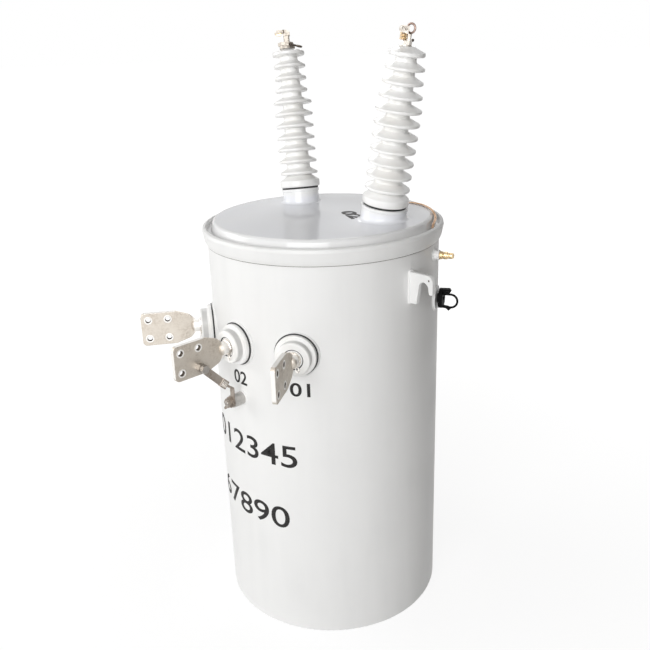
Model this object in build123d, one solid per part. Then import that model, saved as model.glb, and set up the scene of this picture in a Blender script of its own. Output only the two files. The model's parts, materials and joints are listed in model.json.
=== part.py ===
from build123d import *
import os
from math import cos, radians, sin

# Pole mounted single phase transformer.
# Millimetres. Origin at the centre of the tank's underside, +Z up.
# The low voltage bushings face -Y, and the pole stands behind the tank, at +Y.
# An azimuth is counted from -Y towards +X, seen from above anticlockwise.

# Tank
TANK_RADIUS = 266.7
TANK_WALL = 4.0
TANK_TOP = 931.0
BOTTOM_PLATE = 5.0
BOTTOM_EDGE_ROUND = 3.0
RIM_RADIUS = 272.5
RIM_HEIGHT = 12.0
RIM_TOP = TANK_TOP + 6.0

# Lid: a flange clamped on the rim, a groove inside it and a raised middle
LID_VALLEY_RADIUS = 256.0
LID_PLATEAU_RADIUS = 251.0
LID_PLATEAU = 961.0
LID_CROWN = 965.5
LID_SHOULDER_ROUND = 7.0
LID_TURN = -4.3

# Clamp band round the rim and its closing bolt, on the side away from the bushings
BAND_RADIUS = 277.0
BAND_CREST = 949.0
BAND_BOTTOM = 911.0
BAND_FIT = 0.4
BAND_LIP_RADIUS = 267.0
BAND_SPLIT_AZIMUTH = -128.0
BAND_GAP = 18.0
BAND_EAR = 34.0
BAND_EAR_HEIGHT = 28.0
BAND_EAR_THICKNESS = 8.0
BAND_BOLT_RADIUS = 6.0
BAND_BOLT_REACH = 21.0

# High voltage bushings, leaning outwards on two turrets of the lid.
# The two porcelains differ a little: the second is stouter and longer.
HV_AZIMUTH = 109.8
HV_FOOT_RADIUS = 160.7
HV_FOOT_HEIGHT = 993.0
HV_LEAN = 9.4
HV_GASKET = 4.0
HV_COLLAR = 16.0
HV_CAP_RADIUS = 14.0
HV_CAP_RISE = {1: 12.0, 2: 14.3}
HV_GIRTH = {1: 0.96, 2: 1.0}
HV_FIRST_SHED = {1: 34.4, 2: 35.9}
HV_SHED_PITCH = {1: 27.9, 2: 27.7}
HV_TURRET_RADIUS = {1: 44.0, 2: 50.0}
HV_SKIRT_ROUND = {1: 7.0, 2: 9.0}
HV_TURRET_ROOT = -55.5
HV_COLLAR_RADIUS = 50.7
HV_SHEDS = 11
HV_SHED_RADII = {1: (46.0,) * 7 + (38.5,) * 4, 2: (49.5,) * 7 + (46.1, 43.3, 41.8, 38.2)}
HV_CORE_BOTTOM = 30.0
HV_CORE_TOP = 21.5
HV_CLAMP_AZIMUTH = 136.8
HV_CLAMP_SIZE = {1: 1.016, 2: 0.956}
UPRIGHT_EYE = (1.5, 0.0, 35.4)
OPEN_EYE_START = (4.1, -20.0, 8.3)
OPEN_EYE_REACH = 24.0
OPEN_EYE_TURN = 107.0
SHED_RIM_LOW = -4.0
SHED_RIM_HIGH = 2.0
SHED_RIM_ROUND = 2.9
TOP_RIM_RISE = 2.0
SHED_CORE_ROUND = 3.0

# Low voltage bushings on the tank wall
LV_HEIGHT = 718.5
LV_SPACING = 32.9
LV_BOSS_RADIUS = 47.5
LV_SEAT = 268.0
LV_GASKET = 3.0
LV_GASKET_RADIUS = 46.5
LV_FLANGE_RADIUS = 45.8
LV_FLANGE = 9.0
LV_BARREL_RADIUS = 37.0
LV_BARREL = 18.0
LV_RECESS_RADIUS = 22.8
LV_RECESS = 2.5
LV_WASHER_RADIUS = 18.0
LV_WASHER = 3.0
LV_NUT_ACROSS = 28.0

# Four hole spade of each low voltage terminal
SPADE_THICKNESS = 9.5
SPADE_END = 434.5
SPADE_HALF_HEIGHT = 39.4
SPADE_SHOULDER = 356.0
SPADE_SHOULDER_ROUND = 25.0
SPADE_WAIST = 323.0
SPADE_WAIST_HALF = 27.5
SPADE_WAIST_ROUND = 12.0
SPADE_ROOT = 307.0
SPADE_ROOT_HALF = 11.0
SPADE_CORNER = 11.0
SPADE_HUB_RADIUS = 15.3
SPADE_HUB_START = 302.0
SPADE_HUB_END = 321.0
HOLE_SPACING = 44.45
HOLE_RADIUS = 7.15
HOLE_CENTRE = 395.2
HOLE_CHAMFER = 1.4

# Ground connection under the middle bushing
GROUND_AZIMUTH = 0.3
GROUND_HEIGHT = 588.3
GROUND_BOSS_RADIUS = 14.8
GROUND_BOSS_END = 296.0
STRAP_THICKNESS = 3.5
STRAP_WIDTH = 17.5
STRAP_NUT = 10.0
STRAP_TAIL_WIDTH = 13.0
STRAP_TAIL_SIDE = 8.0
FERRULE_START = (331.0, 652.7)
FERRULE_END = (318.2, 639.2)
STRAP_BOLT_ACROSS = 19.0

# Lifting lugs at both sides
LUG_THICKNESS = 10.0
LUG_TOP = 873.3
LUG_BOTTOM = 804.2
LUG_TIP = 831.6
LUG_END = 328.6
LUG_CORNER = 15.0
LUG_ARCH = 844.0
LUG_ARCH_TOP = 856.3
LUG_HOLE = (318.6, 862.4)
LUG_HOLE_RADIUS = 2.2

# Pole brackets at the back
HANGER_SPACING = 590.5
HANGER_LOWER_HEIGHT = 235.0
HANGER_FACE = 318.7
HANGER_WIDTH = 118.0
HANGER_PLATE = 9.0
HANGER_FACE_HEIGHT = 112.0
HANGER_ROOT_HEIGHT = 150.0
HANGER_SLOT = 22.0
HANGER_SLOT_TOP = 22.0
HANGER_MOUTH = 40.0

# Relief valve and tap changer
VALVE_AZIMUTH = 112.9
VALVE_HEIGHT = 883.9
TAP_AZIMUTH = 116.9
TAP_HEIGHT = 778.2
TAP_FLANGE = 4.0
TAP_KNOB_START = 9.0
TAP_KNOB_END = 18.5
TAP_SHAFT_RADIUS = 8.0
TAP_KNOB_RADIUS = 22.2
TAP_RING_RADIUS = 15.3
TAP_RING_CENTRE = -5.4
TAP_RING_BEND = 34.6
TAP_RING_SECTION = 2.5

# Bare strap that bonds the lid to the band
BOND_THICKNESS = 1.6
BOND_WIDTH = 6.0
BOND_RADIUS = 260.5
BOND_GROOVE_AZIMUTHS = (112.8, 131.0)
BOND_END = (217.0, 155.0)

parts = {}


# ---------------------------------------------------------------- helpers
def polar(azimuth, radius=1.0, height=0.0):
    turn = radians(azimuth)
    return Vector(radius * sin(turn), -radius * cos(turn), height)


def wall_plane(azimuth, radius, height):
    """Plane square to the tank's radius: X along the wall, Y up, Z outwards."""
    return Plane(origin=polar(azimuth, radius, height), x_dir=polar(azimuth + 90), z_dir=polar(azimuth))


def radial_plane(azimuth):
    """Upright plane through the tank's axis: X outwards, Y up."""
    return Plane(origin=(0, 0, 0), x_dir=polar(azimuth), z_dir=polar(azimuth - 90))


def rod(radius, low, high):
    """Cylinder on local Z from low to high."""
    return Pos(0, 0, low) * Cylinder(radius, high - low, align=(Align.CENTER, Align.CENTER, Align.MIN))


def hexagon(across, low, high):
    """Hexagonal prism on local Z, sized across its flats."""
    return extrude(Pos(0, 0, low) * RegularPolygon(across / 2, 6, major_radius=False), high - low)


def block(x, y, low, high):
    """Rectangular block centred on local Z, from low to high."""
    return Pos(0, 0, low) * Box(x, y, high - low, align=(Align.CENTER, Align.CENTER, Align.MIN))


def corners(face, points, radius):
    """Round the corners of a flat outline that lie at the given points."""
    picked = [v for v in face.vertices() if any(abs(v.X - x) + abs(v.Y - y) < 0.01 for x, y in points)]
    return fillet(picked, radius)


def outside_tank(solid):
    return solid - rod(TANK_RADIUS, 0, TANK_TOP)


# ---------------------------------------------------------------- tank and lid
def tank_body():
    shell = rod(TANK_RADIUS, 0, TANK_TOP)
    shell = fillet(shell.edges().group_by(Axis.Z)[0], BOTTOM_EDGE_ROUND)
    shell += rod(RIM_RADIUS, TANK_TOP - RIM_HEIGHT, TANK_TOP)
    return shell - rod(TANK_RADIUS - TANK_WALL, 0, BOTTOM_PLATE)


def hv_plane(number):
    """Frame of one high voltage bushing: origin under its collar, Z up its leaning axis."""
    side = 1 if number == 2 else -1
    azimuth = side * HV_AZIMUTH + LID_TURN
    lean = radians(HV_LEAN)
    axis = polar(azimuth) * sin(lean) + Vector(0, 0, cos(lean))
    foot = polar(azimuth, HV_FOOT_RADIUS, HV_FOOT_HEIGHT + HV_GASKET)
    return Plane(origin=foot, x_dir=polar(azimuth), z_dir=axis)


def cover():
    """Pressed lid with a turret under each high voltage bushing, its root rounded into the crown."""
    shoulder = (LID_PLATEAU_RADIUS, LID_PLATEAU)
    valley = (LID_VALLEY_RADIUS, RIM_TOP)
    flange = [(0, TANK_TOP), (RIM_RADIUS, TANK_TOP), (RIM_RADIUS, RIM_TOP)]
    outline = make_face(Polyline(*flange, valley, shoulder, (0, LID_CROWN), close=True))
    outline = corners(outline, [shoulder], LID_SHOULDER_ROUND)
    outline = corners(outline, [valley], 3)
    lid = revolve(Plane.XZ * outline, Axis.Z)
    for number in (1, 2):
        turret = hv_plane(number) * rod(HV_TURRET_RADIUS[number], HV_TURRET_ROOT, -HV_GASKET)
        joined = lid + turret
        root = [e for e in new_edges(lid, turret, combined=joined) if e.center().Z > TANK_TOP + 10]
        lid = fillet(root, HV_SKIRT_ROUND[number])
    return lid


def clamp_band():
    """Hollow section that grips the rim and the lid's flange, split at two bolted ears."""
    lip = RIM_TOP + BAND_FIT
    under = TANK_TOP - RIM_HEIGHT - BAND_FIT
    crest = [(BAND_LIP_RADIUS + 2.5, BAND_CREST), (BAND_RADIUS - 1.5, BAND_CREST - 3)]
    shoulder = (BAND_RADIUS, BAND_CREST - 10)
    outline = make_face(
        Polyline(
            (BAND_LIP_RADIUS, lip),
            (BAND_LIP_RADIUS, BAND_CREST - 4),
            *crest,
            shoulder,
            (BAND_RADIUS - 3.5, BAND_BOTTOM + 10),
            (BAND_RADIUS - 7.5, BAND_BOTTOM),
            (TANK_RADIUS + 1.3, BAND_BOTTOM),
            (TANK_RADIUS + 1.3, under),
            (RIM_RADIUS + BAND_FIT, under),
            (RIM_RADIUS + BAND_FIT, lip),
            close=True,
        )
    )
    outline = corners(outline, [crest[0]], 2)
    outline = corners(outline, [crest[1], shoulder], 3.5)
    band = revolve(Plane.XZ * outline, Axis.Z)
    middle = (BAND_CREST + BAND_BOTTOM) / 2
    seat = wall_plane(BAND_SPLIT_AZIMUTH, RIM_RADIUS + 2, middle)
    band -= seat * Box(BAND_GAP, 60, 60)
    for side in (-1, 1):
        ear = block(BAND_EAR_THICKNESS, BAND_EAR_HEIGHT, 0, BAND_EAR)
        ear = fillet(ear.edges().filter_by(Axis.X).group_by(Axis.Z)[-1], 9)
        band += seat * Pos(side * (BAND_GAP + BAND_EAR_THICKNESS) / 2) * ear
    bolt_hole = Pos(0, 0, BAND_BOLT_REACH) * Rot(0, 90, 0) * Cylinder(BAND_BOLT_RADIUS + 0.5, 60)
    return band - seat * bolt_hole


def clamp_band_bolt():
    reach = BAND_GAP / 2 + BAND_EAR_THICKNESS
    bolt = rod(BAND_BOLT_RADIUS, -reach - 16, reach + 0.1)
    bolt += hexagon(19, reach, reach + 8)
    bolt += hexagon(19, -reach - 10, -reach)
    seat = wall_plane(BAND_SPLIT_AZIMUTH, RIM_RADIUS + 2 + BAND_BOLT_REACH, (BAND_CREST + BAND_BOTTOM) / 2)
    return seat * Rot(0, 90, 0) * bolt


def lid_bond_strap():
    """Bare strap: an arc in the lid's groove, then a run over the shoulder to the second turret."""
    start, end = BOND_GROOVE_AZIMUTHS
    arc = rod(BOND_RADIUS, RIM_TOP, RIM_TOP + BOND_WIDTH) - rod(BOND_RADIUS - BOND_THICKNESS, 0, 2 * TANK_TOP)
    reach = 2 * BOND_RADIUS
    span = make_face(Polyline((0, 0), polar(start, reach), polar(end, reach), close=True))
    arc = arc & extrude(span, 2 * TANK_TOP)
    foot = polar(end - 1, BOND_RADIUS)
    far = polar(BOND_END[1], BOND_END[0])
    run = (far - foot).length
    upright = Plane(origin=foot, x_dir=far - foot, z_dir=(far - foot).cross(Vector(0, 0, 1)))
    rise = LID_PLATEAU + 3
    climb = [(0, RIM_TOP), (0.4, rise - 14), (15, rise), (run, rise + 1.5)]
    back = [(run, rise), (16, rise - BOND_THICKNESS), (2, rise - 14.4), (1.6, RIM_TOP)]
    strip = make_face(Polyline(*climb, *back, close=True))
    return arc + upright * extrude(strip, BOND_WIDTH / 2, both=True)


# ---------------------------------------------------------------- high voltage side
def porcelain(number):
    """Shed stack turned in one piece: collar, eleven drooping sheds on a tapering core, and cap."""
    girth = HV_GIRTH[number]
    first = HV_FIRST_SHED[number]
    pitch = HV_SHED_PITCH[number]
    collar = HV_COLLAR_RADIUS * girth
    last = HV_SHEDS - 1
    points = [(0, 0), (collar, 0), (collar, HV_COLLAR)]
    rims = []
    roots = []
    for index, edge in enumerate(HV_SHED_RADII[number]):
        middle = first + index * pitch
        core = girth * (HV_CORE_BOTTOM + (HV_CORE_TOP - HV_CORE_BOTTOM) * index / last)
        roots += [(core, middle - 5), (core, middle + 12)]
        rims += [(edge, middle + SHED_RIM_LOW), (edge, middle + SHED_RIM_HIGH)]
        points += [roots[-2], rims[-2], rims[-1], roots[-1]]
    rims[-1] = (rims[-1][0], rims[-1][1] + TOP_RIM_RISE)
    points[-2] = rims[-1]
    top = hv_top(number)
    points[-1] = (HV_CAP_RADIUS + 8, first + last * pitch + 10)
    points += [(HV_CAP_RADIUS, top), (0, top)]
    outline = make_face(Polyline(*points, close=True))
    outline = corners(outline, rims, SHED_RIM_ROUND)
    outline = corners(outline, roots[1:-1], SHED_CORE_ROUND)
    outline = corners(outline, [(collar, 0), (collar, HV_COLLAR)], 4)
    return revolve(Plane.XZ * outline, Axis.Z)


def hv_top(number):
    """Height of the porcelain's cap over its collar."""
    last_shed = HV_FIRST_SHED[number] + (HV_SHEDS - 1) * HV_SHED_PITCH[number]
    return last_shed + HV_CAP_RISE[number]


def terminal_plane(number):
    """Frame on a porcelain's cap: X across the clamp, Z up the bushing's axis."""
    foot = hv_plane(number)
    cap = foot.origin + foot.z_dir * hv_top(number)
    return Plane(origin=cap, x_dir=polar(HV_CLAMP_AZIMUTH), z_dir=foot.z_dir)


def upright_clamp():
    """Clamp of the second bushing, closed: spring on the left, jaw over it, eye over the post."""
    base = Pos(-6, 0, 0) * (rod(13.5, 0, 2.5) + hexagon(23, 2.5, 10))
    post = Pos(-0.4, 0, 0) * block(8.8, 13, 10, 24)
    post = fillet(post.edges().filter_by(Axis.Z), 3)
    coil = Pos(-12.7, 0, 0) * (rod(7.6, 10, 26) - rod(5.0, 0, 40))
    jaw_outline = make_face(Polyline((-22.5, 26), (-4.8, 26), (-2, 39.5), (-20, 40), (-24, 34), close=True))
    jaw_outline = corners(jaw_outline, [(-22.5, 26), (-24, 34), (-20, 40)], 2.5)
    jaw = Plane.XZ * Pos(0, 0, 5.5) * extrude(jaw_outline, 5.5, both=True)
    eye = Pos(*UPRIGHT_EYE) * Rot(0, 0, -38) * Rot(90, 0, 0) * Torus(9.3, 2.3)
    shank = Pos(UPRIGHT_EYE[0], 0, 0) * rod(2.6, 24, 26.5)
    return base + post, coil, jaw, eye + shank


def open_clamp():
    """Clamp of the first bushing, open: its jaw tipped back over the post, its eye bolt laid flat."""
    base = Pos(-0.7, 0, 0) * rod(18, 0, 7) + Pos(-4.2, 0, 0) * hexagon(31, 7, 14.5)
    base += Pos(-0.7, -18.5, 0) * block(9, 7, 4.5, 12)
    post = Pos(-0.7, 0, 0) * block(13.5, 13, 14.5, 29)
    post = fillet(post.edges().filter_by(Axis.Z), 3)
    arch = [(-28, 37), (-20, 42.5), (0, 42), (7.5, 37)]
    underside = [(7.5, 29), (-7, 29), (-9, 36), (-26.5, 34)]
    jaw_outline = corners(make_face(Polyline(*arch, *underside, close=True)), arch[1:], 3.5)
    jaw = Plane.XZ * extrude(jaw_outline, 8, both=True)
    leaf_points = [(-25.5, 34), (-12, 35.5), (-12, 32.5), (-15, 30), (-24, 31.5)]
    leaf = Plane.XZ * extrude(make_face(Polyline(*leaf_points, close=True)), 5, both=True)
    eye_bolt = rod(2, 0, 19) + Pos(0, 0, OPEN_EYE_REACH) * Rot(0, 90, 0) * Torus(6.2, 1.9)
    eye_bolt = Pos(*OPEN_EYE_START) * Rot(0, OPEN_EYE_TURN, 0) * eye_bolt
    return base + post, leaf, jaw, eye_bolt


def high_voltage():
    for number, clamp in ((1, open_clamp()), (2, upright_clamp())):
        foot = hv_plane(number)
        collar = HV_COLLAR_RADIUS * HV_GIRTH[number]
        gasket = min(HV_TURRET_RADIUS[number], collar - 4)
        parts[f"hv_gasket_{number}"] = foot * rod(gasket, -HV_GASKET, 0)
        parts[f"hv_bushing_{number}"] = foot * porcelain(number)
        for name, piece in zip(("terminal", "clamp_spring", "clamp_jaw", "eyebolt"), clamp):
            parts[f"hv_{name}_{number}"] = terminal_plane(number) * scale(piece, HV_CLAMP_SIZE[number])


# ---------------------------------------------------------------- low voltage side
def spade_plate():
    """Terminal plate in its own radial plane: X outwards, Y up from the bushing's axis."""
    outer = [(SPADE_END, -SPADE_HALF_HEIGHT), (SPADE_END, SPADE_HALF_HEIGHT)]
    shoulders = [(SPADE_SHOULDER, SPADE_HALF_HEIGHT), (SPADE_SHOULDER, -SPADE_HALF_HEIGHT)]
    waist = [(SPADE_WAIST, SPADE_WAIST_HALF), (SPADE_WAIST, -SPADE_WAIST_HALF)]
    root = [(SPADE_ROOT, SPADE_ROOT_HALF), (SPADE_ROOT, -SPADE_ROOT_HALF)]
    outline = make_face(Polyline(*outer, shoulders[0], waist[0], *root, waist[1], shoulders[1], close=True))
    outline = corners(outline, outer, SPADE_CORNER)
    outline = corners(outline, shoulders, SPADE_SHOULDER_ROUND)
    outline = corners(outline, waist, SPADE_WAIST_ROUND)
    plate = extrude(outline, SPADE_THICKNESS / 2, both=True)
    faces = plate.faces().sort_by(Axis.Z)
    plate = fillet(faces[0].edges() + faces[-1].edges(), 0.9)
    for x, y in ((-0.5, -0.5), (-0.5, 0.5), (0.5, -0.5), (0.5, 0.5)):
        drill = rod(HOLE_RADIUS, -20, 20)
        sink = Pos(0, 0, SPADE_THICKNESS / 2 - HOLE_CHAMFER) * Cone(
            HOLE_RADIUS, HOLE_RADIUS + HOLE_CHAMFER, HOLE_CHAMFER, align=(Align.CENTER, Align.CENTER, Align.MIN)
        )
        tool = drill + sink + Rot(180, 0, 0) * sink
        plate -= Pos(HOLE_CENTRE + x * HOLE_SPACING, y * HOLE_SPACING) * tool
    return plate


def lv_porcelain():
    """Low voltage bushing on local Z from the wall seat: flange, barrel and recessed front."""
    flange_end = LV_GASKET + LV_FLANGE
    barrel_end = flange_end + LV_BARREL
    outer = (LV_FLANGE_RADIUS, flange_end)
    root = (LV_BARREL_RADIUS, flange_end)
    front = (LV_BARREL_RADIUS, barrel_end)
    outline = make_face(
        Polyline(
            (0, LV_GASKET),
            (LV_FLANGE_RADIUS, LV_GASKET),
            outer,
            root,
            front,
            (LV_RECESS_RADIUS, barrel_end),
            (LV_RECESS_RADIUS, barrel_end - LV_RECESS),
            (0, barrel_end - LV_RECESS),
            close=True,
        )
    )
    outline = corners(outline, [outer, front], 3)
    outline = corners(outline, [root], 2)
    return revolve(Plane.XZ * outline, Axis.Z)


def low_voltage():
    porcelain_body = lv_porcelain()
    flat_plate = spade_plate()
    front = LV_GASKET + LV_FLANGE + LV_BARREL - LV_RECESS
    root = SPADE_HUB_START - LV_SEAT
    stud = rod(LV_WASHER_RADIUS, front, front + LV_WASHER)
    stud += hexagon(LV_NUT_ACROSS, front + LV_WASHER, root)
    hub = rod(SPADE_HUB_RADIUS, root, SPADE_HUB_END - LV_SEAT)
    hub = fillet(hub.edges().group_by(Axis.Z)[-1], SPADE_HUB_RADIUS - 4)
    for number, azimuth in ((1, LV_SPACING), (2, 0.0), (3, -LV_SPACING)):
        seat = wall_plane(azimuth, LV_SEAT, LV_HEIGHT)
        plate = radial_plane(azimuth) * Pos(0, LV_HEIGHT, 0) * flat_plate
        parts[f"lv_boss_{number}"] = outside_tank(seat * rod(LV_BOSS_RADIUS, -20, 0))
        parts[f"lv_gasket_{number}"] = seat * rod(LV_GASKET_RADIUS, 0, LV_GASKET)
        parts[f"lv_bushing_{number}"] = seat * porcelain_body
        parts[f"lv_spade_{number}"] = plate + seat * hub
        parts[f"lv_stud_{number}"] = seat * stud


# ---------------------------------------------------------------- ground connection
def ground_boss():
    boss = rod(GROUND_BOSS_RADIUS, TANK_RADIUS - 10, GROUND_BOSS_END)
    return outside_tank(wall_plane(GROUND_AZIMUTH, 0, GROUND_HEIGHT) * boss)


def ground_connector():
    """Tab washer and hollow nut on the end of the boss."""
    plate_end = GROUND_BOSS_END + 6
    washer = Circle(13) + make_face(Polyline((-12, -4), (-24, -22), (-20, -24), (-2, -12), close=True))
    washer = extrude(Pos(0, 0, plate_end - 3) * washer, 3)
    nut = hexagon(19, plate_end, plate_end + 8) + rod(11, plate_end, plate_end + 1.5)
    connector = washer + nut - rod(4.5, plate_end - 1, plate_end + 20)
    return wall_plane(GROUND_AZIMUTH, 0, GROUND_HEIGHT) * connector


def strap_hole():
    """Middle spade's lower inner hole, where the strap starts: outwards and up."""
    return Vector(HOLE_CENTRE - HOLE_SPACING / 2, LV_HEIGHT - HOLE_SPACING / 2)


def strap_bar():
    """Straight length of the strap, from its rounded end on the spade to the crimp."""
    hole = strap_hole()
    end = Vector(*FERRULE_END)
    along = (end - hole).normalized()
    side = Vector(-along.Y, along.X) * STRAP_WIDTH / 2
    bar = make_face(Polyline(hole + side, end + side, end - side, hole - side, close=True))
    bar += Pos(hole.X, hole.Y) * Circle(STRAP_WIDTH / 2)
    bar -= Pos(hole.X, hole.Y) * Circle(HOLE_RADIUS)
    return extrude(bar, STRAP_THICKNESS / 2, both=True)


def strap_ferrule():
    """Crimped sleeve round the strap's lower end."""
    start = Vector(*FERRULE_START)
    end = Vector(*FERRULE_END)
    middle = (start + end) / 2
    sleeve = Box((end - start).length, STRAP_WIDTH + 3, 8)
    sleeve = fillet(sleeve.edges().filter_by(Axis.X), 2.5)
    return Pos(middle.X, middle.Y) * Rot(0, 0, Vector(1, 0).get_signed_angle(end - start)) * sleeve


def strap_tail():
    """Fold from the crimp down to the boss, across the gap between strap and boss."""
    outer = GROUND_BOSS_END + 2.8
    front = [(320, 641), (311, 631), (outer, 623), (outer, GROUND_HEIGHT)]
    rear = [(GROUND_BOSS_END, GROUND_HEIGHT), (GROUND_BOSS_END, 626), (308, 635), (317, 645)]
    return extrude(make_face(Polyline(*front, *rear, close=True)), STRAP_TAIL_WIDTH / 2, both=True)


def ground_strap():
    """Flat strap from the middle spade to the ground boss: bar, crimp, fold and eyelet."""
    strap_side = SPADE_THICKNESS / 2 + STRAP_NUT + STRAP_THICKNESS / 2
    outer = GROUND_BOSS_END + 3
    eyelet = wall_plane(GROUND_AZIMUTH, 0, GROUND_HEIGHT) * rod(13, outer - 3, outer)
    upper = radial_plane(0) * Pos(0, 0, -strap_side) * (strap_bar() + strap_ferrule())
    return upper + radial_plane(0) * Pos(0, 0, -STRAP_TAIL_SIDE) * strap_tail() + eyelet


def ground_strap_bolt():
    """Cap screw through the strap, the nut under it and the spade, with its washer and nut."""
    face = SPADE_THICKNESS / 2
    under = -face - STRAP_NUT
    outer = under - STRAP_THICKNESS
    bolt = rod(6.3, outer - 6, face + 16) + hexagon(STRAP_BOLT_ACROSS, under, -face)
    bolt += rod(10, outer - 1.5, outer) + hexagon(STRAP_BOLT_ACROSS - 2, outer - 8, outer - 1.5)
    bolt += rod(10.5, face, face + 2) + hexagon(STRAP_BOLT_ACROSS, face + 2, face + 12)
    hole = strap_hole()
    return radial_plane(0) * Pos(hole.X, hole.Y) * bolt


# ---------------------------------------------------------------- lugs and brackets
def lifting_lug():
    """Hook plate in its radial plane: X outwards, Y up. The arched slot opens downwards."""
    arch_left = (292, LUG_ARCH)
    arch_right = (317, LUG_ARCH)
    inner_foot = (286, LUG_BOTTOM)
    tip = (LUG_END - 9, LUG_TIP)
    corner = (LUG_END, LUG_TOP)
    edge = Polyline(arch_right, tip, (LUG_END, LUG_TIP + 1), corner, (TANK_RADIUS - 3, LUG_TOP))
    edge += Polyline((TANK_RADIUS - 3, LUG_TOP), (TANK_RADIUS - 3, LUG_BOTTOM), inner_foot, arch_left)
    edge += ThreePointArc(arch_left, (304.5, LUG_ARCH_TOP), arch_right)
    outline = corners(make_face(edge), [corner], LUG_CORNER)
    outline = corners(outline, [tip, (LUG_END, LUG_TIP + 1), inner_foot], 3)
    outline -= Pos(*LUG_HOLE) * Circle(LUG_HOLE_RADIUS)
    plate = extrude(outline, LUG_THICKNESS / 2, both=True)
    faces = plate.faces().sort_by(Axis.Z)
    return fillet(faces[0].outer_wire().edges() + faces[-1].outer_wire().edges(), 1.2)


def hanger_bracket():
    """Formed channel on local Z, seated on the tank: two tapered webs and a face with a keyhole slot."""
    depth = HANGER_FACE
    root = TANK_RADIUS - 12
    web = make_face(
        Polyline(
            (root, -HANGER_ROOT_HEIGHT / 2),
            (depth, -HANGER_FACE_HEIGHT / 2),
            (depth, HANGER_FACE_HEIGHT / 2),
            (root, HANGER_ROOT_HEIGHT / 2),
            close=True,
        )
    )
    side_plane = Plane(origin=(0, 0, 0), x_dir=(0, 0, 1), z_dir=(-1, 0, 0))
    body = side_plane * extrude(web, HANGER_WIDTH / 2, both=True)
    body = fillet(body.edges().filter_by(Axis.Y).group_by(Axis.Z)[-1], 8)
    body -= block(HANGER_WIDTH - 2 * HANGER_PLATE, 2 * HANGER_ROOT_HEIGHT, 0, depth - HANGER_PLATE)
    slot = Pos(0, HANGER_SLOT_TOP) * Circle(HANGER_SLOT / 2)
    slot += Pos(0, HANGER_SLOT_TOP - 50) * Rectangle(HANGER_SLOT, 100)
    low = -HANGER_FACE_HEIGHT / 2 - 1
    slot += make_face(
        Polyline(
            (-HANGER_MOUTH / 2, low),
            (HANGER_MOUTH / 2, low),
            (HANGER_SLOT / 2, low + 20),
            (-HANGER_SLOT / 2, low + 20),
            close=True,
        )
    )
    return body - extrude(Pos(0, 0, depth - 20) * slot, 40)


def lugs_and_brackets():
    for name, azimuth in (("right", 90), ("left", -90)):
        parts[f"lifting_lug_{name}"] = outside_tank(radial_plane(azimuth) * lifting_lug())
    for name, height in (("lower", HANGER_LOWER_HEIGHT), ("upper", HANGER_LOWER_HEIGHT + HANGER_SPACING)):
        parts[f"hanger_bracket_{name}"] = outside_tank(wall_plane(180, 0, height) * hanger_bracket())


# ---------------------------------------------------------------- relief valve and tap changer
def relief_valve():
    seat = wall_plane(VALVE_AZIMUTH, TANK_RADIUS, VALVE_HEIGHT)
    coupling = rod(11.4, -8, 13)
    coupling = fillet(coupling.edges().group_by(Axis.Z)[-1], 2)
    parts["relief_valve_coupling"] = outside_tank(seat * coupling)
    body = [(0, 13), (8.8, 13), (8.8, 19), (7.4, 20), (7.4, 21.5), (8.6, 22.5)]
    cap = [(8.2, 30), (6.9, 31), (6.7, 41), (5, 44), (0, 44)]
    outline = make_face(Polyline(*body, *cap, close=True))
    parts["relief_valve"] = seat * revolve(Plane.XZ * outline, Axis.Z)


def tap_changer():
    """Flange and shaft on the wall, and the handle that turns on the shaft."""
    seat = wall_plane(TAP_AZIMUTH, TANK_RADIUS, TAP_HEIGHT)
    flange = rod(28.5, -10, TAP_FLANGE) + rod(TAP_SHAFT_RADIUS, TAP_FLANGE, TAP_KNOB_START - 0.3)
    parts["tap_changer_flange"] = outside_tank(seat * flange)
    knob = rod(TAP_KNOB_RADIUS, TAP_KNOB_START, TAP_KNOB_END)
    knob = fillet(knob.edges().group_by(Axis.Z)[-1], 2.5)
    side = Plane(origin=(0, 0, 0), x_dir=(0, 0, 1), z_dir=(-1, 0, 0))
    nose = [(32, 23.7), (35.6, 18), (32.5, 12.6)]
    arm = Polyline((TAP_KNOB_START, 10), (TAP_KNOB_START, 22.6), *nose, (TAP_KNOB_END, 11), close=True)
    arm = corners(make_face(arm), nose, 2.5)
    arm -= Pos(27, 18) * Rot(0, 0, 8) * SlotOverall(9, 2.2)
    tab = make_face(Polyline((TAP_KNOB_END - 3, -16), (31, -28), (36, -23), (30, -18), close=True))
    tab -= Pos(31.5, -24.2) * Circle(0.9)
    plates = side * (extrude(arm, 6, both=True) + extrude(tab, 3, both=True))
    high = TAP_RING_CENTRE + TAP_RING_RADIUS
    low = TAP_RING_CENTRE - TAP_RING_RADIUS
    apex = (TAP_RING_BEND + TAP_RING_RADIUS, TAP_RING_CENTRE)
    path = Line((TAP_KNOB_END - 2, high), (TAP_RING_BEND, high))
    path += ThreePointArc((TAP_RING_BEND, high), apex, (TAP_RING_BEND, low))
    path += Line((TAP_RING_BEND, low), (TAP_KNOB_END - 2, low))
    section = Plane(origin=(TAP_KNOB_END - 2, high, 0), z_dir=(1, 0, 0)) * Circle(TAP_RING_SECTION)
    ring = side * sweep(section, path)
    parts["tap_changer_handle"] = seat * (knob + plates + ring)


def tank():
    parts["tank_body"] = tank_body()
    parts["tank_bottom"] = rod(TANK_RADIUS - TANK_WALL, 0, BOTTOM_PLATE)
    parts["cover"] = cover()
    parts["clamp_band"] = clamp_band()
    parts["clamp_band_bolt"] = clamp_band_bolt()
    parts["lid_bond_strap"] = lid_bond_strap()


def ground():
    parts["ground_boss"] = ground_boss()
    parts["ground_connector"] = ground_connector()
    parts["ground_strap"] = ground_strap()
    parts["ground_strap_bolt"] = ground_strap_bolt()


tank()
high_voltage()
low_voltage()
ground()
lugs_and_brackets()
relief_valve()
tap_changer()

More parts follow.
